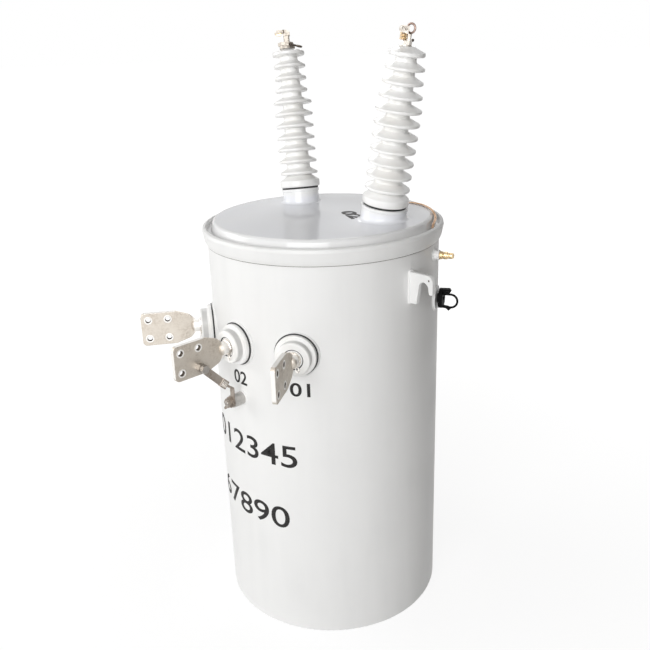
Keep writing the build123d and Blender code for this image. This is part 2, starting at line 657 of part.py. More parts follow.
os.makedirs("parts", exist_ok=True)
for name, shape in parts.items():
    export_step(shape, f"parts/{name}.step")
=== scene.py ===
import json
import logging
import math
from dataclasses import dataclass, field
from enum import Enum

import bmesh
import bpy
import numpy as np
from mathutils import Matrix, Vector

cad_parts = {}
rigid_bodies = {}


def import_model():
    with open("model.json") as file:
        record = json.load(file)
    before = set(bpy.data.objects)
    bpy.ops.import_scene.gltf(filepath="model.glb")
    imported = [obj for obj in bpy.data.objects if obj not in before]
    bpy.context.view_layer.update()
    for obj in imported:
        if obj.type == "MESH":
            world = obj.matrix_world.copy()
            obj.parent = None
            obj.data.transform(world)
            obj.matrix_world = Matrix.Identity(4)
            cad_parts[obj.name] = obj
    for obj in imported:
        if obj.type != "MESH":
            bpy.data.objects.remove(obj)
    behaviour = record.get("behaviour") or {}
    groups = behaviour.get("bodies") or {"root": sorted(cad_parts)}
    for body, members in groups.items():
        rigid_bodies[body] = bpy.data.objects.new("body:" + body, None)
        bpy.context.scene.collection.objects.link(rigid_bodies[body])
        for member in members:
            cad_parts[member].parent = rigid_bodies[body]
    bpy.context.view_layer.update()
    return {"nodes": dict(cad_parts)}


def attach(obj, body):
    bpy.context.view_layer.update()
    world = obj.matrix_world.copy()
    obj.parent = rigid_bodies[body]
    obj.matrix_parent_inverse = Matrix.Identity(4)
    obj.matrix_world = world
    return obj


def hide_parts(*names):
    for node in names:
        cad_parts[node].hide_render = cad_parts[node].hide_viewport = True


# Looks of a pole mounted transformer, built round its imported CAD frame.
# Sizes are in millimetres and become metres when a mesh is made.
# An azimuth is counted from -Y towards +X, as it is in the part's source.
# Lengths inside a finish are in metres, because its nodes read the finished mesh.

LOG = logging.getLogger("transformer")
MM = 0.001
UP = np.array([0.0, 0.0, 1.0])
# The two bodies of the frame.
TANK = "transformer"
HANDLE = "tap_handle"
# The tank's radius, and the turrets: azimuth each way, turn of the pair, lean, and radius and height
# of a bushing's foot.
TANK_RADIUS = 266.7
TURRET_AZIMUTH = 109.8
TURRET_SHIFT = -4.3
TURRET_LEAN = 9.4
COLLAR_FOOT = (160.7, 997.0)
Points = np.ndarray
Rounding = float | tuple[float, ...] | np.ndarray
Pair = tuple[float, float]
Triple = tuple[float, float, float]
Colour = Triple
Socket = bpy.types.NodeSocket


# ---------------------------------------------------------------- shapes as arrays
def polar(azimuth: float | Points, radius: float | Points = 1.0, height: float | Points = 0.0) -> Points:
    """Points at an azimuth, a distance from the tank's axis and a height.

    Args:
        azimuth: Degrees from -Y towards +X, one number or an array.
        radius: Distance from the axis.
        height: Height over the floor.

    Returns:
        An array of points; x is r sin(a), y is -r cos(a) and z is the height.
    """
    turn = np.radians(azimuth)
    return np.stack(np.broadcast_arrays(radius * np.sin(turn), -radius * np.cos(turn), height), axis=-1)


def unit(vectors: Points) -> Points:
    """Each vector divided by its length."""
    return vectors / np.linalg.norm(vectors, axis=-1, keepdims=True)


def full_turn(steps: int) -> Points:
    """Angles in radians, evenly spaced round one turn from zero."""
    return np.linspace(0, 2 * np.pi, steps, endpoint=False)


def around(radius: float | Points, height: float | Points, angle: Points) -> Points:
    """Points round local Z: x is r cos(a), y is r sin(a) and z is the height."""
    return np.stack(np.broadcast_arrays(radius * np.cos(angle), radius * np.sin(angle), height), axis=-1)


def put(name: str, data: bpy.types.ID) -> bpy.types.Object:
    """Puts a mesh, curve, lamp or camera in the scene as an object.

    Args:
        name: The object's name.
        data: What the object holds.

    Returns:
        The object, at the origin.
    """
    made = bpy.data.objects.new(name, data)
    bpy.context.scene.collection.objects.link(made)
    return made


@dataclass(frozen=True)
class Axes:
    """A local frame: an origin and the directions of its X, Y and Z.

    Args:
        origin: Where local zero is.
        x: Direction of local X.
        y: Direction of local Y.
        z: Direction of local Z.
    """

    origin: Points
    x: Points
    y: Points
    z: Points

    @classmethod
    def along(cls, origin: Points, z: Points, x: Points) -> "Axes":
        """A frame with a given Z; its X is the part of the wished X that is square to Z.

        Args:
            origin: Where local zero is.
            z: The wished Z, of any length.
            x: The wished X, of any length.

        Returns:
            The frame.
        """
        up = unit(np.asarray(z, float))
        across = unit(np.asarray(x, float) - np.dot(x, up) * up)
        return cls(np.asarray(origin, float), across, np.cross(up, across), up)

    @classmethod
    def wall(cls, azimuth: float, radius: float, height: float) -> "Axes":
        """A frame square to the tank's radius: X along the wall, Y up, Z outwards."""
        return cls(polar(azimuth, radius, height), polar(azimuth + 90), UP, polar(azimuth))

    @classmethod
    def radial(cls, azimuth: float) -> "Axes":
        """The upright plane through the tank's axis: X outwards, Y up."""
        return cls(np.zeros(3), polar(azimuth), UP, polar(azimuth - 90))

    def place(self, points: Points) -> Points:
        """Local points in the frame of the whole: origin plus each coordinate along its direction."""
        return self.origin + np.asarray(points, float) @ np.stack([self.x, self.y, self.z])

    def moved(self, x: float, y: float, z: float) -> "Axes":
        """The same directions at another local origin."""
        return Axes(self.place(np.array([x, y, z])), self.x, self.y, self.z)

    def facing(self, z: Points, x: Points) -> "Axes":
        """A frame at the same origin whose local Z and X are the given local directions."""
        turned = np.stack([self.x, self.y, self.z])
        return Axes.along(self.origin, np.asarray(z, float) @ turned, np.asarray(x, float) @ turned)


def rounded(corners: Points, radii: Rounding, steps: int, closed: bool = False) -> Points:
    """A polyline whose corners are true arcs.

    Each arc is a rational quadratic curve from one tangent point to the other, with the corner
    as its middle control point and the cosine of half the turn as that point's weight.

    Args:
        corners: The polyline's corners, n by 2.
        radii: One radius for all corners or one each; zero leaves a corner sharp.
        steps: Points on each arc.
        closed: Whether the last corner joins the first.

    Returns:
        The points of the line, n times steps by 2.
    """
    corners = np.asarray(corners, float)
    radii = np.broadcast_to(np.asarray(radii, float), len(corners)).copy()
    if not closed:
        radii[[0, -1]] = 0
    before, after = np.roll(corners, 1, 0), np.roll(corners, -1, 0)
    if not closed:
        before[0], after[-1] = 2 * corners[0] - corners[1], 2 * corners[-1] - corners[-2]
    back, ahead = unit(before - corners), unit(after - corners)
    half = np.arccos(np.clip((back * ahead).sum(1), -1, 1)) / 2
    least = 0.02
    reach = radii / np.tan(np.clip(half, least, np.pi / 2))
    start, end = corners + back * reach[:, None], corners + ahead * reach[:, None]
    weight = np.sin(half)[:, None, None]
    s = np.linspace(0, 1, steps)[None, :, None]
    low, middle, high = (1 - s) ** 2, 2 * weight * s * (1 - s), s**2
    curve = low * start[:, None] + middle * corners[:, None] + high * end[:, None]
    return (curve / (low + middle + high)).reshape(-1, 2)


def spline(knots: Points, steps: int) -> Points:
    """A smooth line through its knots.

    Each span is a cubic, whose slope at a knot is half the chord between that knot's neighbours.

    Args:
        knots: The points that it passes, n by any number of coordinates.
        steps: Points on each span.

    Returns:
        The points of the line, from the first knot to the last.
    """
    knots = np.asarray(knots, float)
    whole = np.concatenate([2 * knots[:1] - knots[1:2], knots, 2 * knots[-1:] - knots[-2:-1]])
    t = np.linspace(0, 1, steps, endpoint=False)[None, :, None]
    p0, p1, p2, p3 = (whole[k : len(whole) - 3 + k][:, None] for k in range(4))
    bent = 2 * p0 - 5 * p1 + 4 * p2 - p3
    curve = p1 + 0.5 * t * (p2 - p0 + t * (bent + t * (3 * p1 - p0 - 3 * p2 + p3)))
    return np.concatenate([curve.reshape(-1, knots.shape[1]), knots[-1:]])


def helix(radius: float, low: float, high: float, turns: float, steps: int = 28) -> Points:
    """A coil's centreline: the angle and the height both grow evenly along it.

    Args:
        radius: Radius of the coil.
        low: Height where it starts.
        high: Height where it ends.
        turns: How many turns it makes.
        steps: Points in one turn.

    Returns:
        The points of the line.
    """
    t = np.linspace(0, 1, int(turns * steps))
    return around(radius, low + (high - low) * t, 2 * np.pi * turns * t)


class Shell:
    """Closed surfaces of one piece, gathered before its mesh is made."""

    def __init__(self) -> None:
        """Starts with no points and no faces."""
        self.points: list[Points] = []
        self.faces: list[list[int]] = []
        self.count = 0

    def grid(self, points: Points, wrap_rows: bool = False, capped: bool = True) -> "Shell":
        """Adds a surface whose rows are rings, wound anticlockwise about the way the rows run.

        Args:
            points: Rows by columns by 3; the last column joins the first.
            wrap_rows: Whether the last row joins the first, as on a ring.
            capped: Whether a fan closes each end where the rows don't wrap.

        Returns:
            The shell itself.
        """
        rows, columns = points.shape[:2]
        index = self.count + np.arange(rows * columns).reshape(rows, columns)
        right = np.roll(index, -1, 1)
        above, above_right = np.roll(index, -1, 0), np.roll(right, -1, 0)
        quads = np.stack([index, right, above_right, above], axis=-1)
        quads = quads if wrap_rows else quads[:-1]
        self.points.append(points.reshape(-1, 3))
        self.faces += quads.reshape(-1, 4).tolist()
        self.count += rows * columns
        if capped and not wrap_rows:
            self.points.append(points[[0, -1]].mean(1))
            low, high = self.count, self.count + 1
            self.faces += np.stack([np.full(columns, low), right[0], index[0]], axis=-1).tolist()
            self.faces += np.stack([np.full(columns, high), index[-1], right[-1]], axis=-1).tolist()
            self.count += 2
        return self

    def turned(
        self, axes: Axes, profile: Points, segments: int, ring: bool = False, wobble: float = 0
    ) -> "Shell":
        """Adds a profile turned round local Z: x is r cos(a), y is r sin(a) and z is the profile's height.

        Args:
            axes: The frame that it is turned in.
            profile: Radius and height, from the foot outwards and up.
            segments: Steps round the turn.
            ring: Whether the profile is a closed loop.
            wobble: How far the radius strays, as a slow three-lobed wave.

        Returns:
            The shell itself.
        """
        angle = full_turn(segments)[None]
        radius, height = profile[:, :1], profile[:, 1:]
        lobes, twist, full_from = 3, 23, 10
        wave = np.sin(lobes * angle + height / twist)
        radius = radius + wobble * wave * np.minimum(1, radius / full_from)
        return self.grid(axes.place(around(radius, height, angle)), wrap_rows=ring)

    def hoop(
        self, axes: Axes, radii: Pair, heights: Pair, edges: Rounding, steps: int, segments: int
    ) -> "Shell":
        """Adds a ring whose section has four rounded corners, turned round local Z.

        Args:
            axes: The frame that it is turned in.
            radii: Its inner and outer radius.
            heights: Its lower and upper height.
            edges: Rounding of all its corners, or of each, anticlockwise from the inner foot.
            steps: Points on each rounded corner.
            segments: Steps round the turn.

        Returns:
            The shell itself.
        """
        (inner, outer), (low, high) = radii, heights
        corners = [(inner, low), (outer, low), (outer, high), (inner, high)]
        return self.turned(axes, rounded(corners, edges, steps, closed=True), segments, ring=True)

    def thread(self, axes: Axes, radius: float, low: float, high: float, pitch: float = 1.75) -> "Shell":
        """Adds a screw thread.

        The radius falls by a triangle wave of the height over the pitch less the angle over a turn.

        Args:
            axes: The frame whose Z it winds round.
            radius: Radius of its crests.
            low: Height where it starts.
            high: Height where it ends.
            pitch: Height of one turn.

        Returns:
            The shell itself.
        """
        segments, rows_a_turn, depth = 28, 8, 0.45
        angle = full_turn(segments)[None]
        height = np.linspace(low, high, max(3, int((high - low) / pitch * rows_a_turn)))[:, None]
        wave = np.abs(2 * np.mod(height / pitch - angle / (2 * np.pi), 1) - 1)
        return self.grid(axes.place(around(radius - depth * pitch * wave, height, angle)))

    def swept(
        self, path: Points, section: Points, up: Points, scale: Points | float = 1.0, ring: bool = False
    ) -> "Shell":
        """Adds a section carried along a path.

        At each point the section's x lies along up less its part along the path, and its y is square
        to both.

        Args:
            path: The path's points, n by 3.
            section: The section's outline, anticlockwise, m by 2.
            up: One direction or one a point, never along the path.
            scale: The section's size at each point.
            ring: Whether the path closes on itself.

        Returns:
            The shell itself.
        """
        ahead = np.roll(path, -1, 0) - np.roll(path, 1, 0)
        if not ring:
            ahead[0], ahead[-1] = path[1] - path[0], path[-1] - path[-2]
        along = unit(ahead)
        up = np.broadcast_to(np.asarray(up, float), path.shape)
        across = unit(up - (up * along).sum(1, keepdims=True) * along)
        side = np.cross(along, across)
        size = np.broadcast_to(np.asarray(scale, float), len(path))[:, None, None]
        spread = section[None, :, :1] * across[:, None] + section[None, :, 1:] * side[:, None]
        return self.grid(path[:, None] + size * spread, wrap_rows=ring)

    def wire(self, path: Points, radius: float, up: Points, ring: bool = False) -> "Shell":
        """Adds round wire along a path; its open ends close in like a quarter circle.

        Args:
            path: The wire's centreline.
            radius: The wire's radius.
            up: A direction that is never along the path.
            ring: Whether the path closes on itself.

        Returns:
            The shell itself.
        """
        sides = 14
        scale = np.ones(len(path)) if ring else closing(walked(path), radius, 0.02)
        return self.swept(path, circle(radius, sides), up, scale, ring)

    def weld(self, path: Points, size: float, up: Points, ring: bool = False, ripple: float = 3.2) -> "Shell":
        """Adds a weld bead: a round section that swells once a ripple, as an arch of a sine.

        A slower, smaller sine strays over it, as a hand does.

        Args:
            path: The bead's centreline.
            size: The bead's radius where it is thickest.
            up: A direction that is never along the path.
            ring: Whether the path closes on itself.
            ripple: Length of one ripple.

        Returns:
            The shell itself.
        """
        sides, swell, stray, stray_length = 16, 0.14, 0.05, 7.3
        run = walked(path)
        arch = np.abs(np.sin(np.pi * run / ripple))
        scale = 1 - swell + swell * arch + stray * np.sin(run / stray_length)
        if not ring:
            scale = scale * closing(run, 1.5 * size, 0.03)
        return self.swept(path, circle(size, sides), up, scale, ring)

    def prism(self, axes: Axes, outline: Points, low: float, high: float, edge: float) -> "Shell":
        """Adds a plate with eased edges: its outline, drawn in by the edge at both faces.

        Args:
            axes: The frame whose Z the plate's thickness follows.
            outline: The plate's outline, anticlockwise, n by 2.
            low: Height of its lower face.
            high: Height of its upper face.
            edge: How far the faces' edges are drawn in.

        Returns:
            The shell itself.
        """
        ahead = unit(np.roll(outline, -1, 0) - np.roll(outline, 1, 0))
        inward = np.stack([-ahead[:, 1], ahead[:, 0]], axis=1)
        levels = [(edge, low), (0, low + edge), (0, high - edge), (edge, high)]
        rings = [np.column_stack([outline + inset * inward, np.full(len(outline), z)]) for inset, z in levels]
        first = self.count
        self.grid(axes.place(np.stack(rings)), capped=False)
        last = self.count - len(outline)
        self.faces += [list(range(first + len(outline) - 1, first - 1, -1)), list(range(last, self.count))]
        return self

    def piece(self, name: str, sharp: float = 38.0) -> bpy.types.Object:
        """Makes the shell an object at the origin, shaded smooth up to a given angle.

        Args:
            name: The piece's name.
            sharp: Angle in degrees between faces, past which their edge stays sharp.

        Returns:
            The object, with its place in its mesh.
        """
        mesh = bpy.data.meshes.new(name)
        mesh.from_pydata(np.concatenate(self.points) * MM, [], self.faces)
        mesh.polygons.foreach_set("use_smooth", np.ones(len(mesh.polygons), bool))
        mesh.set_sharp_from_angle(angle=math.radians(sharp))
        mesh.update()
        return put(name, mesh)


def walked(path: Points) -> Points:
    """How far along a path each of its points is: the running sum of its steps' lengths."""
    return np.concatenate([[0], np.linalg.norm(np.diff(path, axis=0), axis=1).cumsum()])


def closing(run: Points, reach: float, least: float) -> Points:
    """How thick a line is beside its ends, which close in like a quarter circle.

    Args:
        run: How far along the line each point is.
        reach: Distance from an end at which the line is whole.
        least: Smallest square of the thickness, so that no ring shrinks to a point.

    Returns:
        The share of the full thickness at each point.
    """
    near = np.clip(np.minimum(run, run[-1] - run) / reach, 0, 1)
    return np.sqrt(np.clip(1 - (1 - near) ** 2, least, 1))


def circle(radius: float, steps: int) -> Points:
    """Points of a circle, anticlockwise from +X."""
    return around(radius, 0, full_turn(steps))[:, :2]


def polygon(across: float, sides: int, corner: float) -> Points:
    """A nut's outline, sized across its flats, with slightly rounded corners."""
    tips = circle(across / 2 / math.cos(math.pi / sides), sides)
    return rounded(tips, np.full(sides, corner), 4, closed=True)


def box_outline(x: float, y: float, corner: float) -> Points:
    """A rectangle with rounded corners, anticlockwise."""
    half = np.array([[-x, -y], [x, -y], [x, y], [-x, y]]) / 2
    return rounded(half, np.full(4, corner), 5, closed=True)


@dataclass(frozen=True)
class BossWeld:
    """A weld bead round a boss on the tank's wall.

    Args:
        azimuth: Where the boss stands.
        height: The boss's axis over the floor.
        radius: Radius of the bead's centreline.
        size: Radius of the bead.
        ripple: Length of one ripple.
        steps: Points round it.
        proud: How far its centreline is off the wall.
    """

    azimuth: float
    height: float
    radius: float
    size: float
    ripple: float
    steps: int
    proud: float = 0.2

    def shell(self) -> Shell:
        """The bead, along a circle seen along the boss's azimuth and laid on the wall's cylinder.

        Returns:
            The bead's surface.
        """
        seat = TANK_RADIUS + self.proud
        angle = full_turn(self.steps)
        across = np.degrees(np.arcsin(self.radius * np.cos(angle) / seat))
        path = polar(self.azimuth + across, seat, self.height + self.radius * np.sin(angle))
        return Shell().weld(path, self.size, unit(path * [1, 1, 0]), ring=True, ripple=self.ripple)


# ---------------------------------------------------------------- finishes
class Tree:
    """A material's nodes, added one at a time."""

    def __init__(self, name: str) -> None:
        """Makes an empty material with its surface shader.

        Args:
            name: The material's name.
        """
        self.material = bpy.data.materials.new(name)
        self.material.use_nodes = True
        self.nodes = self.material.node_tree.nodes
        self.links = self.material.node_tree.links
        self.nodes.clear()
        self.shader = self.nodes.new("ShaderNodeBsdfPrincipled")
        output = self.nodes.new("ShaderNodeOutputMaterial")
        self.links.new(self.shader.outputs[0], output.inputs[0])
        self.place = self.nodes.new("ShaderNodeTexCoord").outputs["Object"]

    def feed(self, socket: Socket, value: object) -> None:
        """Links a socket to another one, or sets it to a plain value.

        Args:
            socket: The socket that takes the value.
            value: Another node's socket, a number or a colour.
        """
        if isinstance(value, bpy.types.NodeSocket):
            self.links.new(value, socket)
        else:
            socket.default_value = value

    def noise(
        self, scale: float, detail: float, stretch: Triple = (1, 1, 1), rough: float = 0.5
    ) -> Socket:
        """Fractal noise in object space.

        Args:
            scale: How many of its largest spots fit in a metre.
            detail: How many finer layers it has.
            stretch: What its coordinates are multiplied by, axis by axis.
            rough: How strong the finer layers are.

        Returns:
            The noise, from 0 to 1.
        """
        mapping = self.nodes.new("ShaderNodeMapping")
        mapping.inputs["Scale"].default_value = stretch
        self.links.new(self.place, mapping.inputs["Vector"])
        noise = self.nodes.new("ShaderNodeTexNoise")
        self.links.new(mapping.outputs[0], noise.inputs["Vector"])
        for name, value in (("Scale", scale), ("Detail", detail), ("Roughness", rough)):
            noise.inputs[name].default_value = value
        return noise.outputs["Fac"]

    def cells(self, scale: float) -> Socket:
        """Distance to the nearest cell point, for pores, pits and specks.

        Args:
            scale: How many cells fit in a metre.

        Returns:
            The distance, as a share of a cell.
        """
        cells = self.nodes.new("ShaderNodeTexVoronoi")
        cells.inputs["Scale"].default_value = scale
        self.links.new(self.place, cells.inputs["Vector"])
        return cells.outputs["Distance"]

    def span(
        self, value: object, low: float, high: float, to_low: float = 0, to_high: float = 1
    ) -> Socket:
        """A value mapped in a straight line from one span to another and held inside it.

        Args:
            value: The value.
            low: Where the first span starts.
            high: Where the first span ends.
            to_low: What the value is at low.
            to_high: What the value is at high.

        Returns:
            The mapped value.
        """
        node = self.nodes.new("ShaderNodeMapRange")
        for socket, each in zip(node.inputs, (value, low, high, to_low, to_high)):
            self.feed(socket, each)
        return node.outputs[0]

    def arithmetic(self, kind: str, first: object, second: object = 0.0) -> Socket:
        """One step of arithmetic.

        Args:
            kind: The math node's operation.
            first: The first value.
            second: The second value, where the operation has one.

        Returns:
            The result.
        """
        node = self.nodes.new("ShaderNodeMath")
        node.operation = kind
        self.feed(node.inputs[0], first)
        self.feed(node.inputs[1], second)
        return node.outputs[0]

    def mix(self, share: object, first: object, second: object) -> Socket:
        """A colour between two colours.

        Args:
            share: How far it is from the first to the second, from 0 to 1.
            first: The first colour.
            second: The second colour.

        Returns:
            The mixed colour.
        """
        node = self.nodes.new("ShaderNodeMix")
        node.data_type = "RGBA"
        self.feed(node.inputs["Factor"], share)
        for socket, each in ((node.inputs[6], first), (node.inputs[7], second)):
            self.feed(socket, (*each, 1) if isinstance(each, tuple) else each)
        return node.outputs[2]

    def part(self, axis: str) -> Socket:
        """One coordinate of the point in object space.

        Args:
            axis: X, Y or Z.

        Returns:
            The coordinate in metres.
        """
        node = self.nodes.new("ShaderNodeSeparateXYZ")
        self.links.new(self.place, node.inputs[0])
        return node.outputs[axis]

    def radius(self) -> Socket:
        """Distance from the tank's axis: the root of the squares of x and y added."""
        squares = [self.arithmetic("POWER", self.part(axis), 2.0) for axis in "XY"]
        return self.arithmetic("SQRT", self.arithmetic("ADD", *squares))

    def bump(self, height: object, distance: float, under: object = None) -> Socket:
        """A surface normal bent by a height.

        Args:
            height: The height, from 0 to 1.
            distance: What a height of 1 stands for, in metres.
            under: An earlier bump that this one is laid over.

        Returns:
            The bent normal.
        """
        node = self.nodes.new("ShaderNodeBump")
        node.inputs["Distance"].default_value = distance
        self.feed(node.inputs["Height"], height)
        if under is not None:
            self.feed(node.inputs["Normal"], under)
        return node.outputs[0]

    def dress(self, **values: object) -> bpy.types.Material:
        """Feeds the shader's sockets.

        Args:
            values: A value for each socket, whose name has underscores for its spaces.

        Returns:
            The finished material.
        """
        for name, value in values.items():
            socket = self.shader.inputs[name.replace("_", " ")]
            self.feed(socket, (*value, 1) if isinstance(value, tuple) and len(value) == 3 else value)
        return self.material


@dataclass(frozen=True)
class Enamel:
    """Sprayed gloss enamel on steel: faint mottling and runs, orange peel and a few dust nibs.

    Args:
        name: The material's name.
        colour: Its main colour.
        shade: The colour of thinner, greyer paint.
        roughness: How dull it is.
    """

    name: str = "tank_enamel"
    colour: Colour = (0.83, 0.828, 0.82)
    shade: Colour = (0.775, 0.775, 0.768)
    roughness: float = 0.36

    def make(self) -> bpy.types.Material:
        """Mottling from slow noise, runs from noise drawn out upright, and two sizes of bump.

        Returns:
            The material.
        """
        tree = Tree(self.name)
        cloud = tree.noise(7, 4)
        runs = tree.noise(26, 3, (1, 1, 0.12))
        both = tree.arithmetic("MULTIPLY", tree.span(cloud, 0.3, 0.75), tree.span(runs, 0.35, 0.8))
        peel = tree.bump(tree.noise(330, 2), 0.00004)
        nibs = tree.bump(tree.span(tree.cells(95), 0.0, 0.09, 1, 0), 0.00006, peel)
        return tree.dress(
            Base_Color=tree.mix(both, self.colour, self.shade),
            Roughness=tree.span(cloud, 0.2, 0.8, self.roughness - 0.05, self.roughness + 0.09),
            Specular_IOR_Level=0.4,
            Normal=nibs,
        )


@dataclass(frozen=True)
class LidEnamel:
    """The lid's glossier enamel, with painted shade and a painted bluish reflection: a touch greyer and bluer
    on the flat disc than on its shoulder.

    Args:
        name: The material's name.
        disc: Colour of the flat disc, greyer and bluer as painted shade and painted reflection.
        shoulder: Colour of the shoulder, groove and turrets.
        dust: Colour of the faint dust.
        edge: Radius at which one becomes the other.
        raised: Heights between which the turrets take the shoulder's colour.
    """

    name: str = "lid_enamel_painted_shade"
    disc: Colour = (0.835, 0.845, 0.88)
    shoulder: Colour = (0.84, 0.84, 0.84)
    dust: Colour = (0.77, 0.76, 0.74)
    edge: float = 0.247
    raised: Pair = (0.976, 0.988)

    def make(self) -> bpy.types.Material:
        """Two colours parted by distance from the axis and by height, the disc's being painted shade, with
        faint dust and orange peel.

        Returns:
            The material.
        """
        tree = Tree(self.name)
        outside = tree.span(tree.radius(), self.edge - 0.006, self.edge + 0.002)
        raised = tree.span(tree.part("Z"), *self.raised)
        # The disc's greyer, bluer colour is painted shade and painted reflection; the shoulder and turrets
        # keep the paint's own colour.
        paint = tree.mix(tree.arithmetic("MAXIMUM", outside, raised), self.disc, self.shoulder)
        dust = tree.span(tree.noise(11, 5), 0.45, 0.8)
        return tree.dress(
            Base_Color=tree.mix(tree.arithmetic("MULTIPLY", dust, 0.25), paint, self.dust),
            Roughness=tree.span(dust, 0, 1, 0.11, 0.2),
            Specular_IOR_Level=0.5,
            Normal=tree.bump(tree.noise(260, 2), 0.00003),
        )


@dataclass(frozen=True)
class Glaze:
    """White electrical porcelain under a clear glaze, with pinholes and a slow ripple; on the low voltage
    barrels, a grey band of painted shade.

    Args:
        name: The material's name.
        body: Colour of the glazed body.
        thin: Warmer colour where the glaze is thin.
        barrel: Greyer colour of a band of painted shade round a low voltage barrel.
        band: Where the painted shade band starts and ends, along the barrel from the tank's axis.
        fade: Length over which the band comes and goes.
        azimuths: Where the low voltage barrels stand.
    """

    name: str = "porcelain_glaze"
    body: Colour = (0.90, 0.898, 0.89)
    thin: Colour = (0.845, 0.83, 0.80)
    barrel: Colour = (0.60, 0.595, 0.585)
    band: Pair = (0.2815, 0.2955)
    fade: float = 0.002
    azimuths: tuple[float, ...] = ()

    def side(self, tree: Tree) -> Socket:
        """Whether the point is in a barrel's band of painted shade: the largest of its lengths along the
        barrels' axes is.

        Args:
            tree: The material's nodes.

        Returns:
            One in the band and zero outside it.
        """
        start, end = self.band
        reach: object = 0.0
        for azimuth in self.azimuths:
            along_x = tree.arithmetic("MULTIPLY", tree.part("X"), math.sin(math.radians(azimuth)))
            along_y = tree.arithmetic("MULTIPLY", tree.part("Y"), -math.cos(math.radians(azimuth)))
            reach = tree.arithmetic("MAXIMUM", reach, tree.arithmetic("ADD", along_x, along_y))
        comes = tree.span(reach, start, start + self.fade)
        return tree.arithmetic("MULTIPLY", comes, tree.span(reach, end, end - self.fade))

    def make(self) -> bpy.types.Material:
        """Thin glaze from slow noise, pinholes from cells, ripple from stretched noise, and the barrels' band
        of painted shade.

        Returns:
            The material.
        """
        tree = Tree(self.name)
        cloud = tree.noise(24, 3)
        holes = tree.span(tree.cells(120), 0, 0.07, 1, 0)
        ripple = tree.bump(tree.noise(60, 2, (1, 1, 2.5)), 0.00012)
        base = tree.mix(tree.span(cloud, 0.35, 0.75, 0, 0.8), self.body, self.thin)
        # The grey band round each low voltage barrel is painted shade, not a colour of the glaze.
        return tree.dress(
            Base_Color=tree.mix(self.side(tree), base, self.barrel) if self.azimuths else base,
            Roughness=tree.span(cloud, 0.2, 0.8, 0.26, 0.36),
            Coat_Weight=0.2,
            Coat_Roughness=0.2,
            Normal=tree.bump(holes, 0.00005, ripple),
        )


@dataclass(frozen=True)
class Rubber:
    """Black gasket rubber with a fine grain and a grey bloom.

    Args:
        name: The material's name.
        colour: Colour of the clean rubber.
        bloom: Colour of the bloom.
    """

    name: str = "gasket_black"
    colour: Colour = (0.012, 0.012, 0.013)
    bloom: Colour = (0.03, 0.029, 0.028)

    def make(self) -> bpy.types.Material:
        """Bloom from cloudy noise and grain from fine noise.

        Returns:
            The material.
        """
        tree = Tree(self.name)
        bloom = tree.span(tree.noise(60, 4), 0.5, 0.85)
        grain = tree.bump(tree.noise(900, 3), 0.00008)
        return tree.dress(
            Base_Color=tree.mix(bloom, self.colour, self.bloom),
            Roughness=tree.span(bloom, 0, 1, 0.5, 0.75),
            Normal=grain,
        )


@dataclass(frozen=True)
class Metal:
    """Bare or plated metal: mottled tone, fine grain and shallow handling marks.

    Args:
        name: The material's name.
        colour: Its clean colour.
        shade: Its dull or stained colour.
        roughness: How dull it is.
        grain: How fine its grain is.
        stretch: How the grain is drawn out, axis by axis.
        depth: Height of the grain in metres.
        metallic: How far it is bare metal and not a skin of oxide.
        plate: Whether it is a terminal plate, whose edges are paler as a painted highlight and whose hub is
            paler.
    """

    name: str
    colour: Colour
    shade: Colour
    roughness: float = 0.34
    grain: float = 260
    stretch: Triple = (1, 1, 1)
    depth: float = 0.00005
    metallic: float = 1.0
    plate: bool = False

    def paler(self, tree: Tree, base: Socket) -> tuple[Socket, Socket]:
        """A terminal plate's edges, made paler as a painted highlight, and its paler hub.

        An edge is where the point is past the plate's end, by its distance from the tank's axis, or
        past the plate's half height over or under the terminals' axis. The hub is nearest the tank.

        Args:
            tree: The material's nodes.
            base: Colour of the plate's faces.

        Returns:
            The colour, and how far it is bare metal.
        """
        axis_height, half_height, end, hub = 0.7185, 0.0385, 0.4335, 0.3165
        from_axis = tree.arithmetic("SUBTRACT", tree.part("Z"), axis_height)
        past_end = tree.span(tree.radius(), end, end + 0.001)
        past_side = tree.span(tree.arithmetic("ABSOLUTE", from_axis), half_height, half_height + 0.0007)
        # Edges paler and less metallic: a painted highlight, for light catching the plate's edges.
        edge_highlight = tree.arithmetic("MAXIMUM", past_end, past_side)
        base = tree.mix(edge_highlight, base, (0.84, 0.82, 0.79))
        base = tree.mix(tree.span(tree.radius(), hub, hub - 0.004), base, (0.86, 0.84, 0.81))
        return base, tree.span(edge_highlight, 0, 1, 1, 0.35)

    def make(self) -> bpy.types.Material:
        """Stain from two noises multiplied, grain and marks as two bumps.

        Returns:
            The material.
        """
        tree = Tree(self.name)
        cloud = tree.noise(38, 5, rough=0.6)
        specks = tree.noise(210, 3)
        stain = tree.arithmetic("MULTIPLY", tree.span(cloud, 0.35, 0.7), tree.span(specks, 0.3, 0.65))
        grain = tree.bump(tree.noise(self.grain, 4, self.stretch), self.depth)
        marks = tree.bump(tree.span(tree.noise(45, 6, (1, 1, 3)), 0.52, 0.56), 0.00002, grain)
        base = tree.mix(stain, self.colour, self.shade)
        metallic: object = self.metallic
        if self.plate:
            base, metallic = self.paler(tree, base)
        return tree.dress(
            Base_Color=base,
            Roughness=tree.span(stain, 0, 1, self.roughness, min(1, self.roughness + 0.2)),
            Metallic=metallic,
            Normal=marks,
        )


